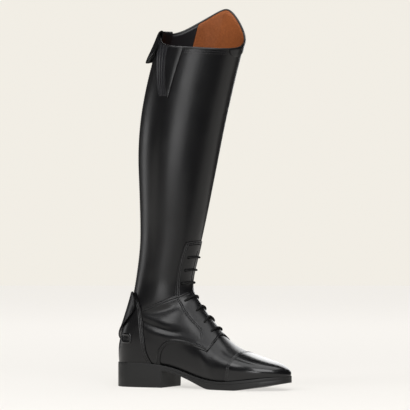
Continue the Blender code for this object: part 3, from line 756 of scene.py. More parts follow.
def make_walls():
    """The two black walls, foot and leg, and the lining of the leg, tan at the front and black behind."""
    nose = (0, 0.004, 0.012, 0.025, 0.045, 0.07, 0.1, 0.15)
    step, seam, rim_rows, lining_step, lining_rim_rows, behind = 0.1, 0.03, 40, 0.25, 24, 0.1
    lower = [*nose, *np.arange(0.2, THROAT - step / 2, step), THROAT - SLIT_STEP]
    heel = [HEEL - 0.06, *(HEEL - s for s in HEEL_STEPS), HEEL, HEEL + 0.05]
    middle = [*np.arange(THROAT, HEEL - step / 2, step), *heel]
    middle += [*np.arange(HEEL + step, COUNTER_TOP - step / 2, step), COUNTER_TOP - SLIT_STEP]
    top = np.arange(COUNTER_TOP, ANKLE_SEAM + step / 2, step)
    foot = [level(t) for t in [*lower, *middle, *top]]
    obj = halves("upper_wall", foot, throat_gap, back_edge, 0, "leather", replaces=["upper"])
    thicken(obj, FOOT_WALL)

    slit = [ANKLE_SEAM + seam, *np.arange(ANKLE_SEAM + step, SLIT_END, step), SLIT_END, SLIT_END + SLIT_STEP]
    leg = [level(t) for t in [*slit, *np.arange(SLIT_END + step, RIM_BLEND, step)]]
    leg += [up_to_rim(share) for share in np.linspace(0, 1, rim_rows)]
    obj = halves("leg_wall", leg, throat_gap, back_edge, 0, "leather", replaces=["shaft"])
    thicken(obj, LEATHER)

    lined = [level(t) for t in np.arange(ANKLE_SEAM + step, RIM_BLEND, lining_step)]
    lined += [up_to_rim(share) for share in np.linspace(0, 1, lining_rim_rows)]
    linings = (("front", lining_gap, tan_end, "lining"), ("back", tan_end, back_edge, "elastic"))
    for name, first, last, material in linings:
        obj = halves(f"lining_{name}", lined, first, last, -LEATHER - behind, material)
        thicken(obj, LINING)


def resample(places, step):
    """A run of places with a point about every step millimetres."""
    total = lengths_along(skin.at(places[:, 0], places[:, 1]))
    count = max(int(total[-1] / step), 2)
    wanted = np.linspace(0, total[-1], count + 1)
    return np.column_stack([np.interp(wanted, total, places[:, i]) for i in (0, 1)])


def skin_run(places, side=1, step=1.0):
    """A smooth run along an edge given in places of one side."""
    return resample(dense(np.asarray(places, float) * (1, side), 24), step)


def side_run(side_places, side, step=1.0):
    """A smooth run along an edge given in side places."""
    line = dense(side_places, 24)
    count = max(int(lengths_along(line)[-1] / step), 2)
    return skin.find(spread(line, np.linspace(0, 1, count + 1)), side)


def inside_polygon(points, polygon):
    x, y = points[:, 0], points[:, 1]
    found = np.zeros(len(points), bool)
    previous = polygon[-1]
    for corner in polygon:
        (x0, y0), (x1, y1) = previous, corner
        crosses = (y0 > y) != (y1 > y)
        with np.errstate(divide="ignore", invalid="ignore"):
            reach = (x1 - x0) * (y - y0) / (y1 - y0) + x0
        found ^= crosses & (x < reach)
        previous = corner
    return found


def closed_run(runs):
    run = np.vstack(runs)
    line = skin.at(run[:, 0], run[:, 1])
    kept = [0]
    for i in range(1, len(run)):
        if np.linalg.norm(line[i] - line[kept[-1]]) > 0.3:
            kept.append(i)
    if np.linalg.norm(line[kept[-1]] - line[0]) < 0.3:
        kept.pop()
    return run[kept]


def across_path(run, closed=False):
    """Unit directions along the skin, square to a run of places, to the left of its way."""
    line = skin.at(run[:, 0], run[:, 1])
    along = np.roll(line, -1, 0) - np.roll(line, 1, 0)
    if not closed:
        along[0], along[-1] = line[1] - line[0], line[-1] - line[-2]
    across = np.cross(skin.normal(run[:, 0], run[:, 1]), along)
    return across / np.maximum(np.linalg.norm(across, axis=1, keepdims=True), 1e-9)


def beside(run, inset):
    """A run of places set to the left of another."""
    return np.column_stack(skin.shift(run[:, 0], run[:, 1], across_path(run), inset))


def unroll_heel(points):
    """Flattens points round the heel like a sheet unrolled from an upright post."""
    post_x, post_radius = 60.0, 38.0
    turn = np.arctan2(np.abs(points[:, 1]), post_x - points[:, 0])
    return np.column_stack([points[:, 2], turn * post_radius])


def panel(name, runs, thickness, base=0.0, grooves=(), rolls=(), rise=None, unroll=None):
    """A leather panel laid on the skin inside a closed outline of runs, pressed in along grooves and puffed
    up along rolls, with cut edges that reach down to the skin. Rise gives how much higher each place
    stands, and unroll a flat pattern that suits the panel better than its places."""
    round_in, edge_share, sink, press, press_width, into_sole = 0.6, 0.75, 0.4, 0.55, 0.58, 1.5
    puff, puff_width, spacing, clear, apart = 1.1, 1.6, 2.2, 3.2, 1.4
    beside_groove, beside_roll = (-0.9, -0.45, 0.0, 0.45, 0.9), (-0.45, 0.0, 0.45)
    further_out = (-2.6, -1.6, 1.6, 2.6)
    run = closed_run(runs)
    middle = (run.min(0) + run.max(0)) / 2
    scale = np.linalg.norm(skin.at(middle[0], middle[1] + 0.01) - skin.at(middle[0], middle[1] - 0.01)) / 0.02
    travelled = lengths_along(skin.points[:, int((middle[1] + 1) / 2 * (skin.points.shape[1] - 1))])

    def flatten(places):
        return np.column_stack([np.interp(places[:, 0], skin.rows, travelled), places[:, 1] * scale])

    def unflatten(flat):
        return np.column_stack([np.interp(flat[:, 0], travelled, skin.rows), flat[:, 1] / scale])

    area = 0.5 * np.sum(run[:, 0] * np.roll(run[:, 1], -1) - np.roll(run[:, 0], -1) * run[:, 1])
    inwards = across_path(run, closed=True) * (-1 if area > 0 else 1)
    ring = np.column_stack(skin.shift(run[:, 0], run[:, 1], inwards, round_in))
    ring = ring[inside_polygon(ring, run)]
    flat = flatten(run)
    ups, rounds = (np.arange(low, high, spacing) for low, high in zip(flat.min(0), flat.max(0)))
    inner = unflatten(np.array([(u, r) for u in ups for r in rounds]))
    rows = [beside(groove, d) for groove in grooves for d in beside_groove]
    rows += [beside(roll, d) for roll in rolls for d in beside_roll]
    further = [beside(groove, d) for groove in grooves for d in further_out]
    for line in [skin.at(*line.T) for line in [*grooves, *rolls]]:
        inner = inner[distance_to_line(skin.at(*inner.T), line) > clear]
        further = [places[distance_to_line(skin.at(*places.T), line) > apart] for places in further]
    inner = np.vstack([inner, *rows, *further])
    inner = inner[inside_polygon(inner, run)]
    outline_points = skin.at(*np.vstack([run, run[:1]]).T)
    inner = inner[distance_to_line(skin.at(*inner.T), outline_points) > round_in + 0.5]
    places = np.vstack([run, ring, inner])
    border = [(i, (i + 1) % len(run)) for i in range(len(run))]
    corners = unroll(skin.at(*places.T)) if unroll else flatten(places)
    found, _, triangles, origin, _, _ = delaunay_2d_cdt([Vector(p) for p in corners], border, [], 1, 1e-4)
    crossings = unflatten(np.array([tuple(v) for v in found]))
    places = np.array([places[group[0]] if group else crossing for group, crossing in zip(origin, crossings)])
    on_border = np.array([any(o < len(run) for o in group) if group else False for group in origin])
    lift = np.where(on_border, thickness * edge_share, thickness)
    on_skin = skin.at(*places.T)
    for groove in grooves:
        lift = lift - press * np.exp(-((distance_to_line(on_skin, skin.at(*groove.T)) / press_width) ** 2))
    for roll in rolls:
        lift = lift + puff * np.exp(-((distance_to_line(on_skin, skin.at(*roll.T)) / puff_width) ** 2))
    if rise:
        lift = lift + rise(places)
    points = skin.at(places[:, 0], places[:, 1], base + lift)
    normals = skin.normal(places[:, 0], places[:, 1])
    faces = []
    for a, b, c in triangles:
        up = np.cross(points[b] - points[a], points[c] - points[a]) @ normals[a]
        faces.append((a, b, c) if up > 0 else (a, c, b))
    used = {(a, b) for face in faces for a, b in zip(face, face[1:] + face[:1])}
    rims = sorted(pair for pair in used if pair[::-1] not in used)
    foot, extra = {}, []
    for a, b in rims:
        for i in (a, b):
            if i not in foot:
                foot[i] = len(points) + len(extra)
                extra.append(skin.at(*places[i], base - sink))
        faces.append((b, a, foot[a], foot[b]))
    points = np.vstack([points, extra])
    points[points[:, 2] < seat_height(points[:, 0]) + 0.8, 2] -= into_sole
    # The panel's rim faces take the matte dark edge finish, partly painted shade for the shadow line along
    # its edge
    return add_piece(name, points, faces, "leather", cut_faces=len(rims))


def stitches(name, run, off, inset=0.0, length=2.5, gap=1.0, radius=0.33, sides=6, material="thread"):
    """A row of stitches along a run of places, that far off the skin and set to its left by inset."""
    off = np.broadcast_to(np.asarray(off, float), (len(run),))
    if inset:
        run = beside(run, inset)
    line = skin.at(run[:, 0], run[:, 1])
    total = lengths_along(line)
    starts = np.arange(0.5 * gap, total[-1] - length, length + gap)
    shares = np.array((0.0, 0.15, 0.5, 0.85, 1.0))
    widths = np.array((0.35, 0.9, 1.0, 0.9, 0.35))
    lifts = np.array((-0.25, 0.05, 0.2, 0.05, -0.25))
    points, faces = [], []
    for start in starts:
        at = start + shares * length
        t, q = (np.interp(at, total, run[:, i]) for i in (0, 1))
        centre = skin.at(t, q, np.interp(at, total, off) + lifts * radius * 2)
        up = skin.normal(t, q)
        along = centre[-1] - centre[0]
        sideways = np.cross(along / np.linalg.norm(along), up)
        first = len(points)
        for k in range(len(shares)):
            points += list(circle(centre[k], sideways[k], up[k], radius * widths[k], sides))
        faces += ring_faces(len(shares), sides, first, flip=True)
        faces.append(tuple(range(first, first + sides)))
        last = first + (len(shares) - 1) * sides
        faces.append(tuple(range(last + sides - 1, last - 1, -1)))
    return add_piece(name, points, faces, material)


def sew(name, edges, rows, stitch_name, thickness, base=0.0, **shape):
    """A panel with rows of stitches pressed into it, named by the row."""
    panel(name, edges, thickness, base, list(rows.values()), **shape)
    for row, run in rows.items():
        stitches(stitch_name.format(row), run, thickness + base - STITCH_SINK)


def tube(name, line, radius, material, sides=10, replaces=()):
    """A closed tube along a run of points."""
    line = np.asarray(line, float)
    along = np.gradient(line, axis=0)
    along /= np.linalg.norm(along, axis=1, keepdims=True)
    sideways = np.cross(along, (0.0, 0.0, 1.0))
    sideways /= np.maximum(np.linalg.norm(sideways, axis=1, keepdims=True), 1e-9)
    up = np.cross(sideways, along)
    points = np.vstack([circle(*frame_at, radius, sides) for frame_at in zip(line, sideways, up)])
    faces = ring_faces(len(line), sides)
    faces.append(tuple(range(sides - 1, -1, -1)))
    faces.append(tuple(range((len(line) - 1) * sides, len(line) * sides)))
    return add_piece(name, points, faces, material, replaces)


def make_toe_cap():
    """The cap, laid over the vamp, with two pressed rows of stitches along its back edge."""
    thickness, columns, rows, press = 1.1, 141, 50, 0.3
    stitch_rows = (1.8, 4.4)
    seam = dense(CAP_SEAM)
    q = np.linspace(-1, 1, columns)
    end = np.interp(np.abs(q), seam[::-1, 1], seam[::-1, 0])
    millimetres_a_row = np.linalg.norm(skin.at(end, q) - skin.at(end - 0.05, q), axis=1) / 0.05
    near = np.array((6.0, 5.4, 4.9, 4.4, 3.9, 3.4, 2.8, 2.3, 1.8, 1.3, 0.8, 0.4, 0.0))
    last = end - 7.0 / millimetres_a_row
    t = [last * share for share in np.linspace(0, 1, rows) ** 1.6]
    lift = [thickness] * rows
    for distance in near:
        t.append(end - distance / millimetres_a_row)
        pressed = sum(math.exp(-(((distance - row) / 0.55) ** 2)) for row in stitch_rows)
        lift.append(thickness * (0.75 if distance == 0 else 1) - press * pressed)
    t.append(end)
    lift.append(-0.4)
    points = np.vstack([skin.at(row, q, off) for row, off in zip(t, lift)])
    faces = grid_faces(len(t), columns)
    # The cap's back edge takes the matte dark edge finish, partly painted shade for the shadow line at the
    # seam
    add_piece("toe_cap", points, faces, "cap", merge=0.01, cut_faces=columns - 1)
    edge = np.column_stack([end, q])[3:-3]
    for name, row in zip(("back", "front"), stitch_rows):
        stitches(f"cap_stitch_{name}", edge, thickness - press * 0.6, -row)


def make_quarters():
    """The quarters round the throat, each over the waist of the foot from the vamp to the counter."""
    thickness = 1.5
    for side, name in SIDES:
        left = -side
        front = skin_run(QUARTER_FRONT, side)
        arch = side_run(QUARTER_ARCH_SIDE, side)
        back = beside(side_run(COUNTER_FRONT_SIDE[:QUARTER_ROWS], side), left * -COUNTER_GROOVE)
        sole = skin_run(((8.3, 1.0), (8.45, 1.0), (8.6, 1.0)), side)
        top = np.vstack([side_run(QUARTER_TOP_SIDE, side), skin_run(QUARTER_TOP, side)])
        slit = [(t, float(skin.share_of(t, THROAT_HALF_GAP))) for t in (13.3, 11, 9, 7.5, 6.0)]
        throat = skin_run(slit, side)
        facing = side_run(FACING_SIDE, side)
        rows = {
            "arch_a": beside(arch[2:], left * -2.0),
            "arch_b": beside(arch[6:], left * -5.2),
            "front": beside(front[2:-1], left * -2.0),
            "facing_a": facing,
            "facing_b": beside(facing, left * 2.4),
            "ankle": beside(top[3:-3], left * -2.4),
        }
        roll = beside(arch[2:], left * -3.6)
        edges = [front, arch, sole, back, top, throat]
        sew(f"quarter_{name}", edges, rows, "{}_stitch_" + name, thickness, rolls=[roll])


def make_counter():
    """The counter round the heel, with the short stay at its back."""
    thickness, base = 1.4, 0.6
    for side, name in SIDES:
        left = -side
        front = side_run(COUNTER_FRONT_SIDE, side)
        zip_edge = skin_run([(t, float(back_edge(np.array(t)))) for t in (15.7, 15, 14.2, 13.5, 13.05)], side)
        back = skin_run(((13.0, 1.0), (12.4, 1.0), (11.7, 1.0), (11.0, 1.0)), side)
        round_heel = (11.0, *(HEEL - s for s in HEEL_STEPS[::-1]), 10.8, 10.2, 9.5, 8.75)
        sole = skin.to_edge(skin_run([(t, 1.0) for t in round_heel], side), side)
        rows = {"a": beside(front[2:-6], left * 2.0), "b": beside(front[2:-6], left * 4.6)}
        edges = [front, zip_edge, back, sole]
        sew(f"counter_{name}", edges, rows, "counter_stitch_{}_" + name, thickness, base, unroll=unroll_heel)
    make_backstay(thickness + base)


def make_backstay(under):
    """A small pad over the back seam, from the sole up to a rounded top."""
    half, thickness, rows, columns = 9.5, 1.7, 26, 27
    across = np.linspace(-1, 1, columns)
    start, end = HEEL + 0.02, HEEL + 1.3
    points = []
    for v in np.linspace(0, 1, rows):
        t = start + (end - start) * v
        width = half * math.sqrt(max(1 - v**5, 0.0)) + 0.05
        lift = under + thickness * (1 - np.abs(across) ** 6) * (1 - v**6) - 0.3
        q = 1 + across * -float(skin.share_of(t, width))
        points += list(skin.at(np.full(columns, t), q, lift))
    add_piece("backstay", points, grid_faces(rows, columns), "leather")


def make_stay():
    """The stay round the lacing above the ankle seam."""
    thickness, base = 1.1, 0.2
    slit_top = LACING_TOP - 0.6
    slit = float(skin.share_of(16.0, THROAT_HALF_GAP))
    inner = skin_run(STAY_EDGE, INNER_SIDE)
    top = skin_run(((19.0, -0.185), (19.06, -0.09), (19.07, 0.0), (19.06, 0.09), (19.0, 0.185)))
    outer = skin_run(STAY_EDGE, OUTER_SIDE)[::-1]
    rest = (
        ((13.2, 0.19), (13.18, 0.1), (13.2, slit)),
        ((13.2, slit), (15.0, slit), (slit_top, slit)),
        ((slit_top, slit), (slit_top + 0.06, 0.0), (slit_top, -slit)),
        ((slit_top, -slit), (15.0, -slit), (13.2, -slit)),
        ((13.2, -slit), (13.18, -0.1), (13.2, -0.19)),
    )
    border = np.vstack([inner, top[1:], outer[1:]])
    rows = {"a": beside(border, -2.0), "b": beside(border, -4.4)}
    outline_runs = [inner, top, outer, *[skin_run(run) for run in rest]]
    sew("lacing_stay", outline_runs, rows, "stay_stitch_{}", thickness, base)


def make_tongue():
    columns = np.linspace(-1, 1, 25)
    rows = np.arange(THROAT - 1.0, LACING_TOP + 0.6, 0.1)
    reach = 26.0
    points = []
    for t in rows:
        q = columns * float(skin.share_of(t, reach))
        points += list(skin.at(np.full(len(q), t), q, -FOOT_WALL - 0.5))
    faces = grid_faces(len(rows), len(columns))
    obj = add_piece("tongue_leather", points, faces, "leather", ["tongue"])
    thicken(obj, 2.0)


def make_laces():
    """Seven bars, each out of one eyelet, over the throat and into the other. Each eyelet is a matte
    near-black disc and ring, painted shade for the hole round the lace.
    """
    reach = np.array((1.03, 1.02, 0.98, 0.9, 0.75, 0.55, 0.3, 0.0))
    off = np.array((-2.4, -0.6, 1.6, 2.5, 2.9, 3.0, 3.0, 3.0))
    eyelet_rings, count, eyelet_off = ((1.2, 0.02), (2.3, 0.05), (2.9, -0.3)), 20, 1.32
    eyelet_points, eyelet_faces = [], []
    for number, (height, eyelet_reach, drop) in enumerate(LACES, start=1):
        ridge = float(section_at(height, "front"))
        t = ridge - drop
        q = float(skin.share_of(ridge, eyelet_reach))
        inner = skin.at(ridge - drop * reach, -reach * q, off)
        outer = skin.at(ridge - drop * reach, reach * q, off)[::-1][1:]
        line = dense(np.vstack([inner, outer]), 6)
        tube(f"lace_{number}", line, LACE_RADIUS, "lace", replaces=[f"lace_bar_{number}"])
        for side, _ in SIDES:
            centre = skin.at(t, side * q, eyelet_off)
            up = skin.normal(t, side * q)
            one = np.cross(up, (0.0, 1.0, 0.0))
            one /= np.linalg.norm(one)
            base = len(eyelet_points)
            for radius, lift in eyelet_rings:
                eyelet_points += list(circle(centre + lift * up, one, np.cross(up, one), radius, count))
            eyelet_faces.append(tuple(range(base, base + count)))
            eyelet_faces += ring_faces(len(eyelet_rings), count, base, flip=True)
    # The eyelets are painted shade: matte near-black discs standing in for the holes the laces come out of
    add_piece("eyelets", eyelet_points, eyelet_faces, "hole")


def make_zip():
    """Tape and two rows of teeth between the back edges, with stitched edges beside them."""
    foot, head, tape_off, dip, teeth_off = 76, 497, -2.3, 0.9, -1.8
    pitch, apart, size = 2.0, 1.1, (0.8, 1.75, 0.65)
    start, end = (float(section_at(height, "back")) for height in (foot, head))
    rows = np.arange(start, end, 0.1)
    across = np.linspace(-1, 1, 7)
    points = []
    for t in rows:
        q = 1 + across * float(skin.share_of(t, ZIP_HALF_GAP + 4))
        points += list(skin.at(np.full(len(q), t), q, tape_off - dip * (1 - across**2)))
    obj = add_piece("zip_tape", points, grid_faces(len(rows), len(across)), "tape", ["zip"])
    thicken(obj, 0.8)
    total = lengths_along(skin.at(rows, np.ones(len(rows)), teeth_off))
    points, faces = [], []
    for number, place in enumerate(np.arange(1.0, total[-1] - 1.0, pitch / 2)):
        t = float(np.interp(place, total, rows))
        centre = skin.at(t, 1.0, teeth_off)
        ahead = skin.at(t + 0.02, 1.0, teeth_off) - centre
        ahead /= np.linalg.norm(ahead)
        centre = centre + np.array((0, apart if number % 2 else -apart, 0))
        out = np.cross((0.0, 1.0, 0.0), ahead)
        first = len(points)
        for k in (-1, 1):
            for u, v in ((-1, -1), (1, -1), (1, 1), (-1, 1)):
                corner = k * size[2] * out + u * size[1] * np.array((0, 1, 0)) + v * size[0] * 0.5 * ahead
                points.append(centre + corner)
        faces += [tuple(range(first + 3, first - 1, -1)), tuple(range(first + 4, first + 8))]
        faces += ring_faces(2, 4, first)
    add_piece("zip_teeth", points, faces, "teeth", flat=True)
    for side, name in SIDES:
        ts = np.arange(15.8, end - 0.4, 0.1)
        run = np.column_stack([ts, side * (1 - skin.share_of(ts, ZIP_HALF_GAP + 2.2))])
        stitches(f"zip_stitch_{name}", run, 0.05)


def flap(name, table, heights, thickness, replaces, columns=33):
    """A flap round the back: rows of half width and distance off the skin."""
    share = np.linspace(-1, 1, columns)
    fine = dense(table, 10)
    points = []
    for row in fine:
        t = float(section_at(heights(row[0]), "back"))
        half = row[1]
        off = row[2] + (row[3] * (1 - share**2) if len(row) > 3 else 0)
        q = 1 + share * -float(skin.share_of(t, max(half, 0.3)))
        points += list(skin.at(np.full(columns, t), q, off))
    obj = add_piece(name, points, grid_faces(len(fine), columns), "leather", replaces)
    thicken(obj, thickness, 1.0)
    # The flap's rim takes the matte dark edge finish, partly painted shade for the shadow line under the
    # flap's edge
    obj.data.materials.append(MATERIALS["edge"])
    obj.modifiers["wall"].material_offset_rim = 1
    soften = obj.modifiers.new("edge", "BEVEL")
    soften.width = 0.35 * MM
    soften.segments = 2
    soften.limit_method = "ANGLE"


def make_flaps():
    """The guard over the foot of the zip, sewn along its edges, and the keeper over the top."""
    thickness = 1.5
    flap("zip_guard_flap", GUARD, lambda z: z, thickness, ["zip_guard"])
    flap("zip_keeper_tab", KEEPER, lambda drop: KEEPER_HEIGHT - drop, thickness, ["zip_keeper"])
    fine = dense(GUARD, 10)
    for inset, row in ((3.0, "a"), (6.0, "b")):
        wide = fine[fine[:, 1] > inset + 2]
        t = np.array([float(section_at(z, "back")) for z in wide[:, 0]])
        for side, name in SIDES:
            q = side * (1 - skin.share_of(t, wide[:, 1] - inset))
            stitches(f"guard_stitch_{row}_{name}", np.column_stack([t, q]), wide[:, 2] + thickness)


def rim_run(q, drop=0.0):
    """Places along the top line, or that many millimetres below it."""
    millimetres_a_row = 30.0
    return np.column_stack([rim_section(q) - drop / millimetres_a_row, q])


def make_rim():
    """The bound edge along the top line, the band under it round the front, and the stitches along it."""
    q = np.linspace(-0.985, 0.985, 260)
    places = rim_run(q)
    line = skin.at(places[:, 0] - BINDING_SINK, q, -0.85)
    tube("rim_binding", line, PIPING_RADIUS, "leather", sides=12)
    band = dense(COLLAR_BAND)
    q = np.linspace(COLLAR_BAND[0][0], COLLAR_BAND[-1][0], 200)
    drop = np.interp(q, band[:, 0], band[:, 1])
    panel("collar_band", [rim_run(q, 0.6), rim_run(q, drop)[::-1]], 0.9, base=0.3)
    q = np.linspace(-0.47, COLLAR_BAND[0][0], 80)
    stitches("rim_stitch_a", rim_run(q, 4.2), 0.1)
    stitches("rim_stitch_b", rim_run(q, 7.2), 0.1)


def make_gores():
    """A ribbed elastic gore beside the zip on each side, and the leather V in front of the inner one."""
    bottom, ribs, relief, columns, rows = GORE_FRONT[0][0], 5, 1.7, 91, 60
    front, back = dense(GORE_FRONT), dense(GORE_BACK)
    u = np.linspace(0, 1, columns)
    for side, name in SIDES:
        points = []
        for v in np.linspace(0, 1, rows):
            t = np.full(columns, 28.0)
            for _ in range(6):
                shift = OUTER_GORE_SHIFT * np.clip((t - bottom) / 3.4, 0, 1.2) if side == OUTER_SIDE else 0.0
                low = np.interp(t, front[:, 0], front[:, 1]) + shift
                high = np.interp(t, back[:, 0], back[:, 1])
                share = low + (high - low) * u
                t = bottom + (rim_section(side * share) - bottom - 0.02) * v
            edge = np.clip(np.minimum(u, 1 - u) / 0.04, 0, 1) * np.clip(v / 0.05, 0, 1)
            rib = 0.5 - 0.5 * np.cos(2 * math.pi * ribs * u)
            lift = -0.3 + edge * (0.6 + relief * rib * np.clip(0.15 + 1.2 * v, 0, 1))
            points += list(skin.at(t, side * share, lift))
        faces = grid_faces(rows, columns, flip=side == INNER_SIDE)
        add_piece(f"gore_{name}", points, faces, "elastic")
    rim = rim_run(np.linspace(-V_FRONT[-1][1], -V_BACK[0][1], 30), 0.5)
    runs = [skin_run(V_FRONT, INNER_SIDE), rim, skin_run(V_BACK, INNER_SIDE)]
    front, back = dense(V_FRONT), dense(V_BACK)[::-1]

    def lean(places):
        low = np.interp(places[:, 0], front[:, 0], front[:, 1])
        high = np.interp(places[:, 0], back[:, 0], back[:, 1])
        width = np.maximum(high - low, 0.01)
        return 4.4 * np.clip((-places[:, 1] - low) / width, 0, 1) * np.clip(width / 0.1, 0, 1)

    panel("gore_strip", runs, 1.2, base=0.3, rise=lean)


def make_sole():
    """The moulded sole: closed cross sections along the foot, with a grooved tread."""
    edge, lip, groove_drop, groove_depth = 0.8, 3.2, 4.2, 0.5
    tread_depth, tread_width, tread_margin = 1.1, 1.6, 6.0
    turn = np.linspace(0, math.pi / 2, 15)
    heel_end = HEEL_ROUND * (1 - np.cos(turn))
    toe_end = TOE_ROUND_START + (SOLE_LENGTH - TOE_ROUND_START) * np.sin(turn)
    grooves = [*np.arange(14, 72, 7.0), *np.arange(146, 238, 6.0)]
    cuts = [x for g in grooves for x in (g, g + 0.3, g + tread_width, g + tread_width + 0.3)]
    middle = np.arange(HEEL_ROUND + 4, TOE_ROUND_START, 4.0)
    breast = [HEEL_BREAST, HEEL_BREAST + BREAST_SLOPE]
    xs = np.unique(np.round(np.concatenate([heel_end, toe_end, middle, cuts, breast]), 3))
    xs = xs[(xs <= HEEL_BREAST) | (xs >= HEEL_BREAST + BREAST_SLOPE)]
    rings = []
    for x in xs:
        centre, half = outline(x, 0, 0)
        half = max(half, 0.02)
        top = float(seat_height(x))
        bottom = 0.0 if x <= HEEL_BREAST else float(underside_height(x))
        cut = any(g + 0.15 < x < g + tread_width + 0.15 for g in grooves)
        in_tread = max(half - tread_margin, half * 0.1)
        small = min(edge, half * 0.5)
        groove = min(groove_depth if x > HEEL_BREAST + 8 else 0.0, half * 0.2)
        profile = [
            (half - min(lip + 3, half * 0.9), top),
            (half - small, top),
            (half - small * 0.3, top - small * 0.3),
            (half, top - small),
            (half, max(top - groove_drop + 0.6, bottom + 1.4)),
            (half - groove, max(top - groove_drop, bottom + 1.2)),
            (half, max(top - groove_drop - 0.6, bottom + 1.0)),
            (half, bottom + small),
            (half - small * 0.3, bottom + small * 0.3),
            (half - small, bottom),
            (in_tread, bottom),
            (in_tread - min(0.3, in_tread * 0.2), bottom + (tread_depth if cut else 0.0)),
        ]
        right = [(x, centre + y, z) for y, z in profile]
        left = [(x, centre - y, z) for y, z in profile[::-1]]
        rings.append(right + left)
    count = len(rings[0])
    points = [p for ring in rings for p in ring]
    faces = [tuple(range(count))[::-1], tuple(range((len(rings) - 1) * count, len(rings) * count))]
    faces += ring_faces(len(rings), count)
    obj = add_piece("sole_unit", points, faces, "rubber", ["outsole"])
    shape = bmesh.new()
    shape.from_mesh(obj.data)
    bmesh.ops.recalc_face_normals(shape, faces=shape.faces)
    shape.to_mesh(obj.data)
    shape.free()
    obj.data.set_sharp_from_angle(angle=math.radians(38))


def make_insole():
    inset = SOLE_LIP + FOOT_WALL + 2.4
    xs = inset + (SOLE_LENGTH - 2 * inset) * (1 - np.cos(np.linspace(0, math.pi, 60))) / 2
    shares = np.linspace(-1, 1, 13)
    points = []
    for x in xs:
        centre, half = outline(x, inset, inset)
        points += [(x, centre + s * half, float(seat_height(x)) + 0.6) for s in shares]
    faces = grid_faces(len(xs), len(shares), flip=True)
    obj = add_piece("insole_pad", points, faces, "lining", ["insole"])
    thicken(obj, 3.4, 1.0)


def make_pads():
    """The plain raised spur rests on the counter, each a rounded block of rings."""
    centre_x, centre_z, length, height, corner, base = 28.0, 69.0, 18.5, 14.5, 2 / 4.5, 1.6
    inset_and_lift = (
        (0, 0), (0, 0.9), (0.25, 1.4), (0.8, 1.8), (1.6, 2.0), (2.2, 1.9), (2.9, 1.6), (4.5, 1.6), (7.0, 1.6),
    )
    count = 72
    turn = np.linspace(0, 2 * math.pi, count, endpoint=False)
    shape_x = np.sign(np.cos(turn)) * np.abs(np.cos(turn)) ** corner
    shape_z = np.sign(np.sin(turn)) * np.abs(np.sin(turn)) ** corner
    for side, name in SIDES:
        points = []
        for inset, lift in inset_and_lift:
            x, z = centre_x + shape_x * (length / 2 - inset), centre_z + shape_z * (height / 2 - inset)
            points += list(skin.at(*skin.find(np.column_stack([x, z]), side).T, base + lift))
        faces = ring_faces(len(inset_and_lift), count)
        faces.append(tuple(range(len(points) - count, len(points))))
        if side == OUTER_SIDE:
            faces = [face[::-1] for face in faces]
        add_piece(f"spur_pad_{name}", points, faces, "cap", [f"spur_rest_{name}"])


def sheet(name, corners, material):
    """A flat sheet of the stage, from corners in metres."""
    mesh = bpy.data.meshes.new(name)
    mesh.from_pydata(corners, [], [(0, 1, 2, 3)])
    mesh.materials.append(material)
    obj = bpy.data.objects.new(name, mesh)
    obj.rotation_euler = (0, 0, math.radians(CAMERA_TURN))
    bpy.context.scene.collection.objects.link(obj)
    return obj


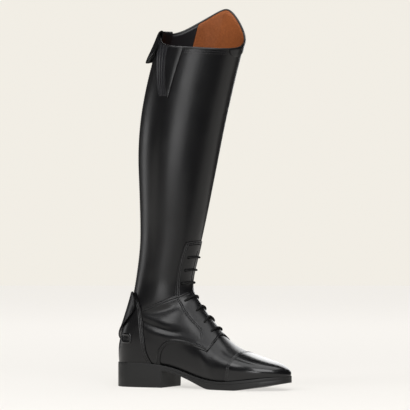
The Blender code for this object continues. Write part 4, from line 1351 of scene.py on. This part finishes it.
def make_stage():
    """A pale floor and a plain wall, soft lights and the camera."""
    turn = math.radians(CAMERA_TURN)
    back, side = np.array((-math.sin(turn), math.cos(turn))), np.array((math.cos(turn), math.sin(turn)))
    half, paper = STAGE_HALF, floor_material()
    near, far = FLOOR_NEAR
    floors = (
        ("floor_front", -half, half, -FLOOR_AHEAD, -near),
        ("floor", -half, FLOOR_RIGHT, -near, far),
        ("floor_right", FLOOR_RIGHT, half, -near, FLOOR_SIDE),
        ("floor_side", FLOOR_RIGHT, half, FLOOR_SIDE, far),
        ("floor_back", -half, half, far, WALL_AT),
    )
    for name, low, high, start, end in floors:
        corners = ((low, start, 0), (high, start, 0), (high, end, 0), (low, end, 0))
        sheet(name, corners, paper).visible_glossy = name in ("floor", "floor_side")
    top = WALL_HEIGHT
    wall = ((-half, WALL_AT, 0), (half, WALL_AT, 0), (half, WALL_AT, top), (-half, WALL_AT, top))
    paint, shader = shader_of("pale_wall", (0.02, 0.02, 0.02), 1.0, Emission_Strength=1.0)
    shader.inputs["Emission Color"].default_value = (*WALL_COLOUR, 1)
    sheet("wall", wall, paint).visible_glossy = False

    world = bpy.data.worlds.new("studio")
    bpy.context.scene.world = world
    world.use_nodes = True
    sky = world.node_tree.nodes["Background"]
    sky.inputs["Color"].default_value = (1.0, 0.985, 0.96, 1)
    sky.inputs["Strength"].default_value = SKY

    for name, place, aim, size, power in LIGHTS:
        light = bpy.data.lights.new(name, "AREA")
        light.shape = "RECTANGLE"
        light.size, light.size_y = size
        light.energy = power
        lamp = bpy.data.objects.new(name, light)
        start, end = (Vector((*(side * right - back * towards), up)) for right, towards, up in (place, aim))
        lamp.location = start + Vector((TARGET[0], 0, 0))
        lamp.rotation_euler = (end - start).to_track_quat("-Z", "Y").to_euler()
        lamp.visible_camera = False
        lamp.visible_diffuse = name != "fill"
        bpy.context.scene.collection.objects.link(lamp)

    camera = bpy.data.cameras.new("camera")
    camera.sensor_width = 36.0
    camera.lens = 36.0 * CAMERA_DISTANCE / VIEW_WIDTH
    camera.clip_end = 50
    eye = bpy.data.objects.new("camera", camera)
    x, y = np.array(TARGET[:2]) - back * CAMERA_DISTANCE
    eye.location = (x, y, TARGET[2])
    eye.rotation_euler = (Vector(TARGET) - eye.location).to_track_quat("-Z", "Y").to_euler()
    bpy.context.scene.collection.objects.link(eye)
    bpy.context.scene.camera = eye
    bpy.context.scene.view_settings.view_transform = "Standard"


def floor_material():
    """Pale paper with a soft glow that changes a little towards the wall."""
    material, shader = shader_of("pale_paper", PAPER, 0.9, Specular_IOR_Level=0.0)
    shader.inputs["Emission Color"].default_value = (*FLOOR_GLOW, 1)
    nodes, links = material.node_tree.nodes, material.node_tree.links
    place = nodes.new("ShaderNodeTexCoord")
    split = nodes.new("ShaderNodeSeparateXYZ")
    glow = nodes.new("ShaderNodeMapRange")
    glow.interpolation_type = "SMOOTHSTEP"
    set_range(glow, *GLOW_RANGE)
    links.new(place.outputs["Object"], split.inputs["Vector"])
    links.new(split.outputs["Y"], glow.inputs["Value"])
    links.new(glow.outputs["Result"], shader.inputs["Emission Strength"])
    return material


make_walls()
make_toe_cap()
make_quarters()
make_counter()
make_stay()
make_tongue()
make_laces()
make_zip()
make_gores()
make_flaps()
make_rim()
make_sole()
make_insole()
make_pads()
make_stage()
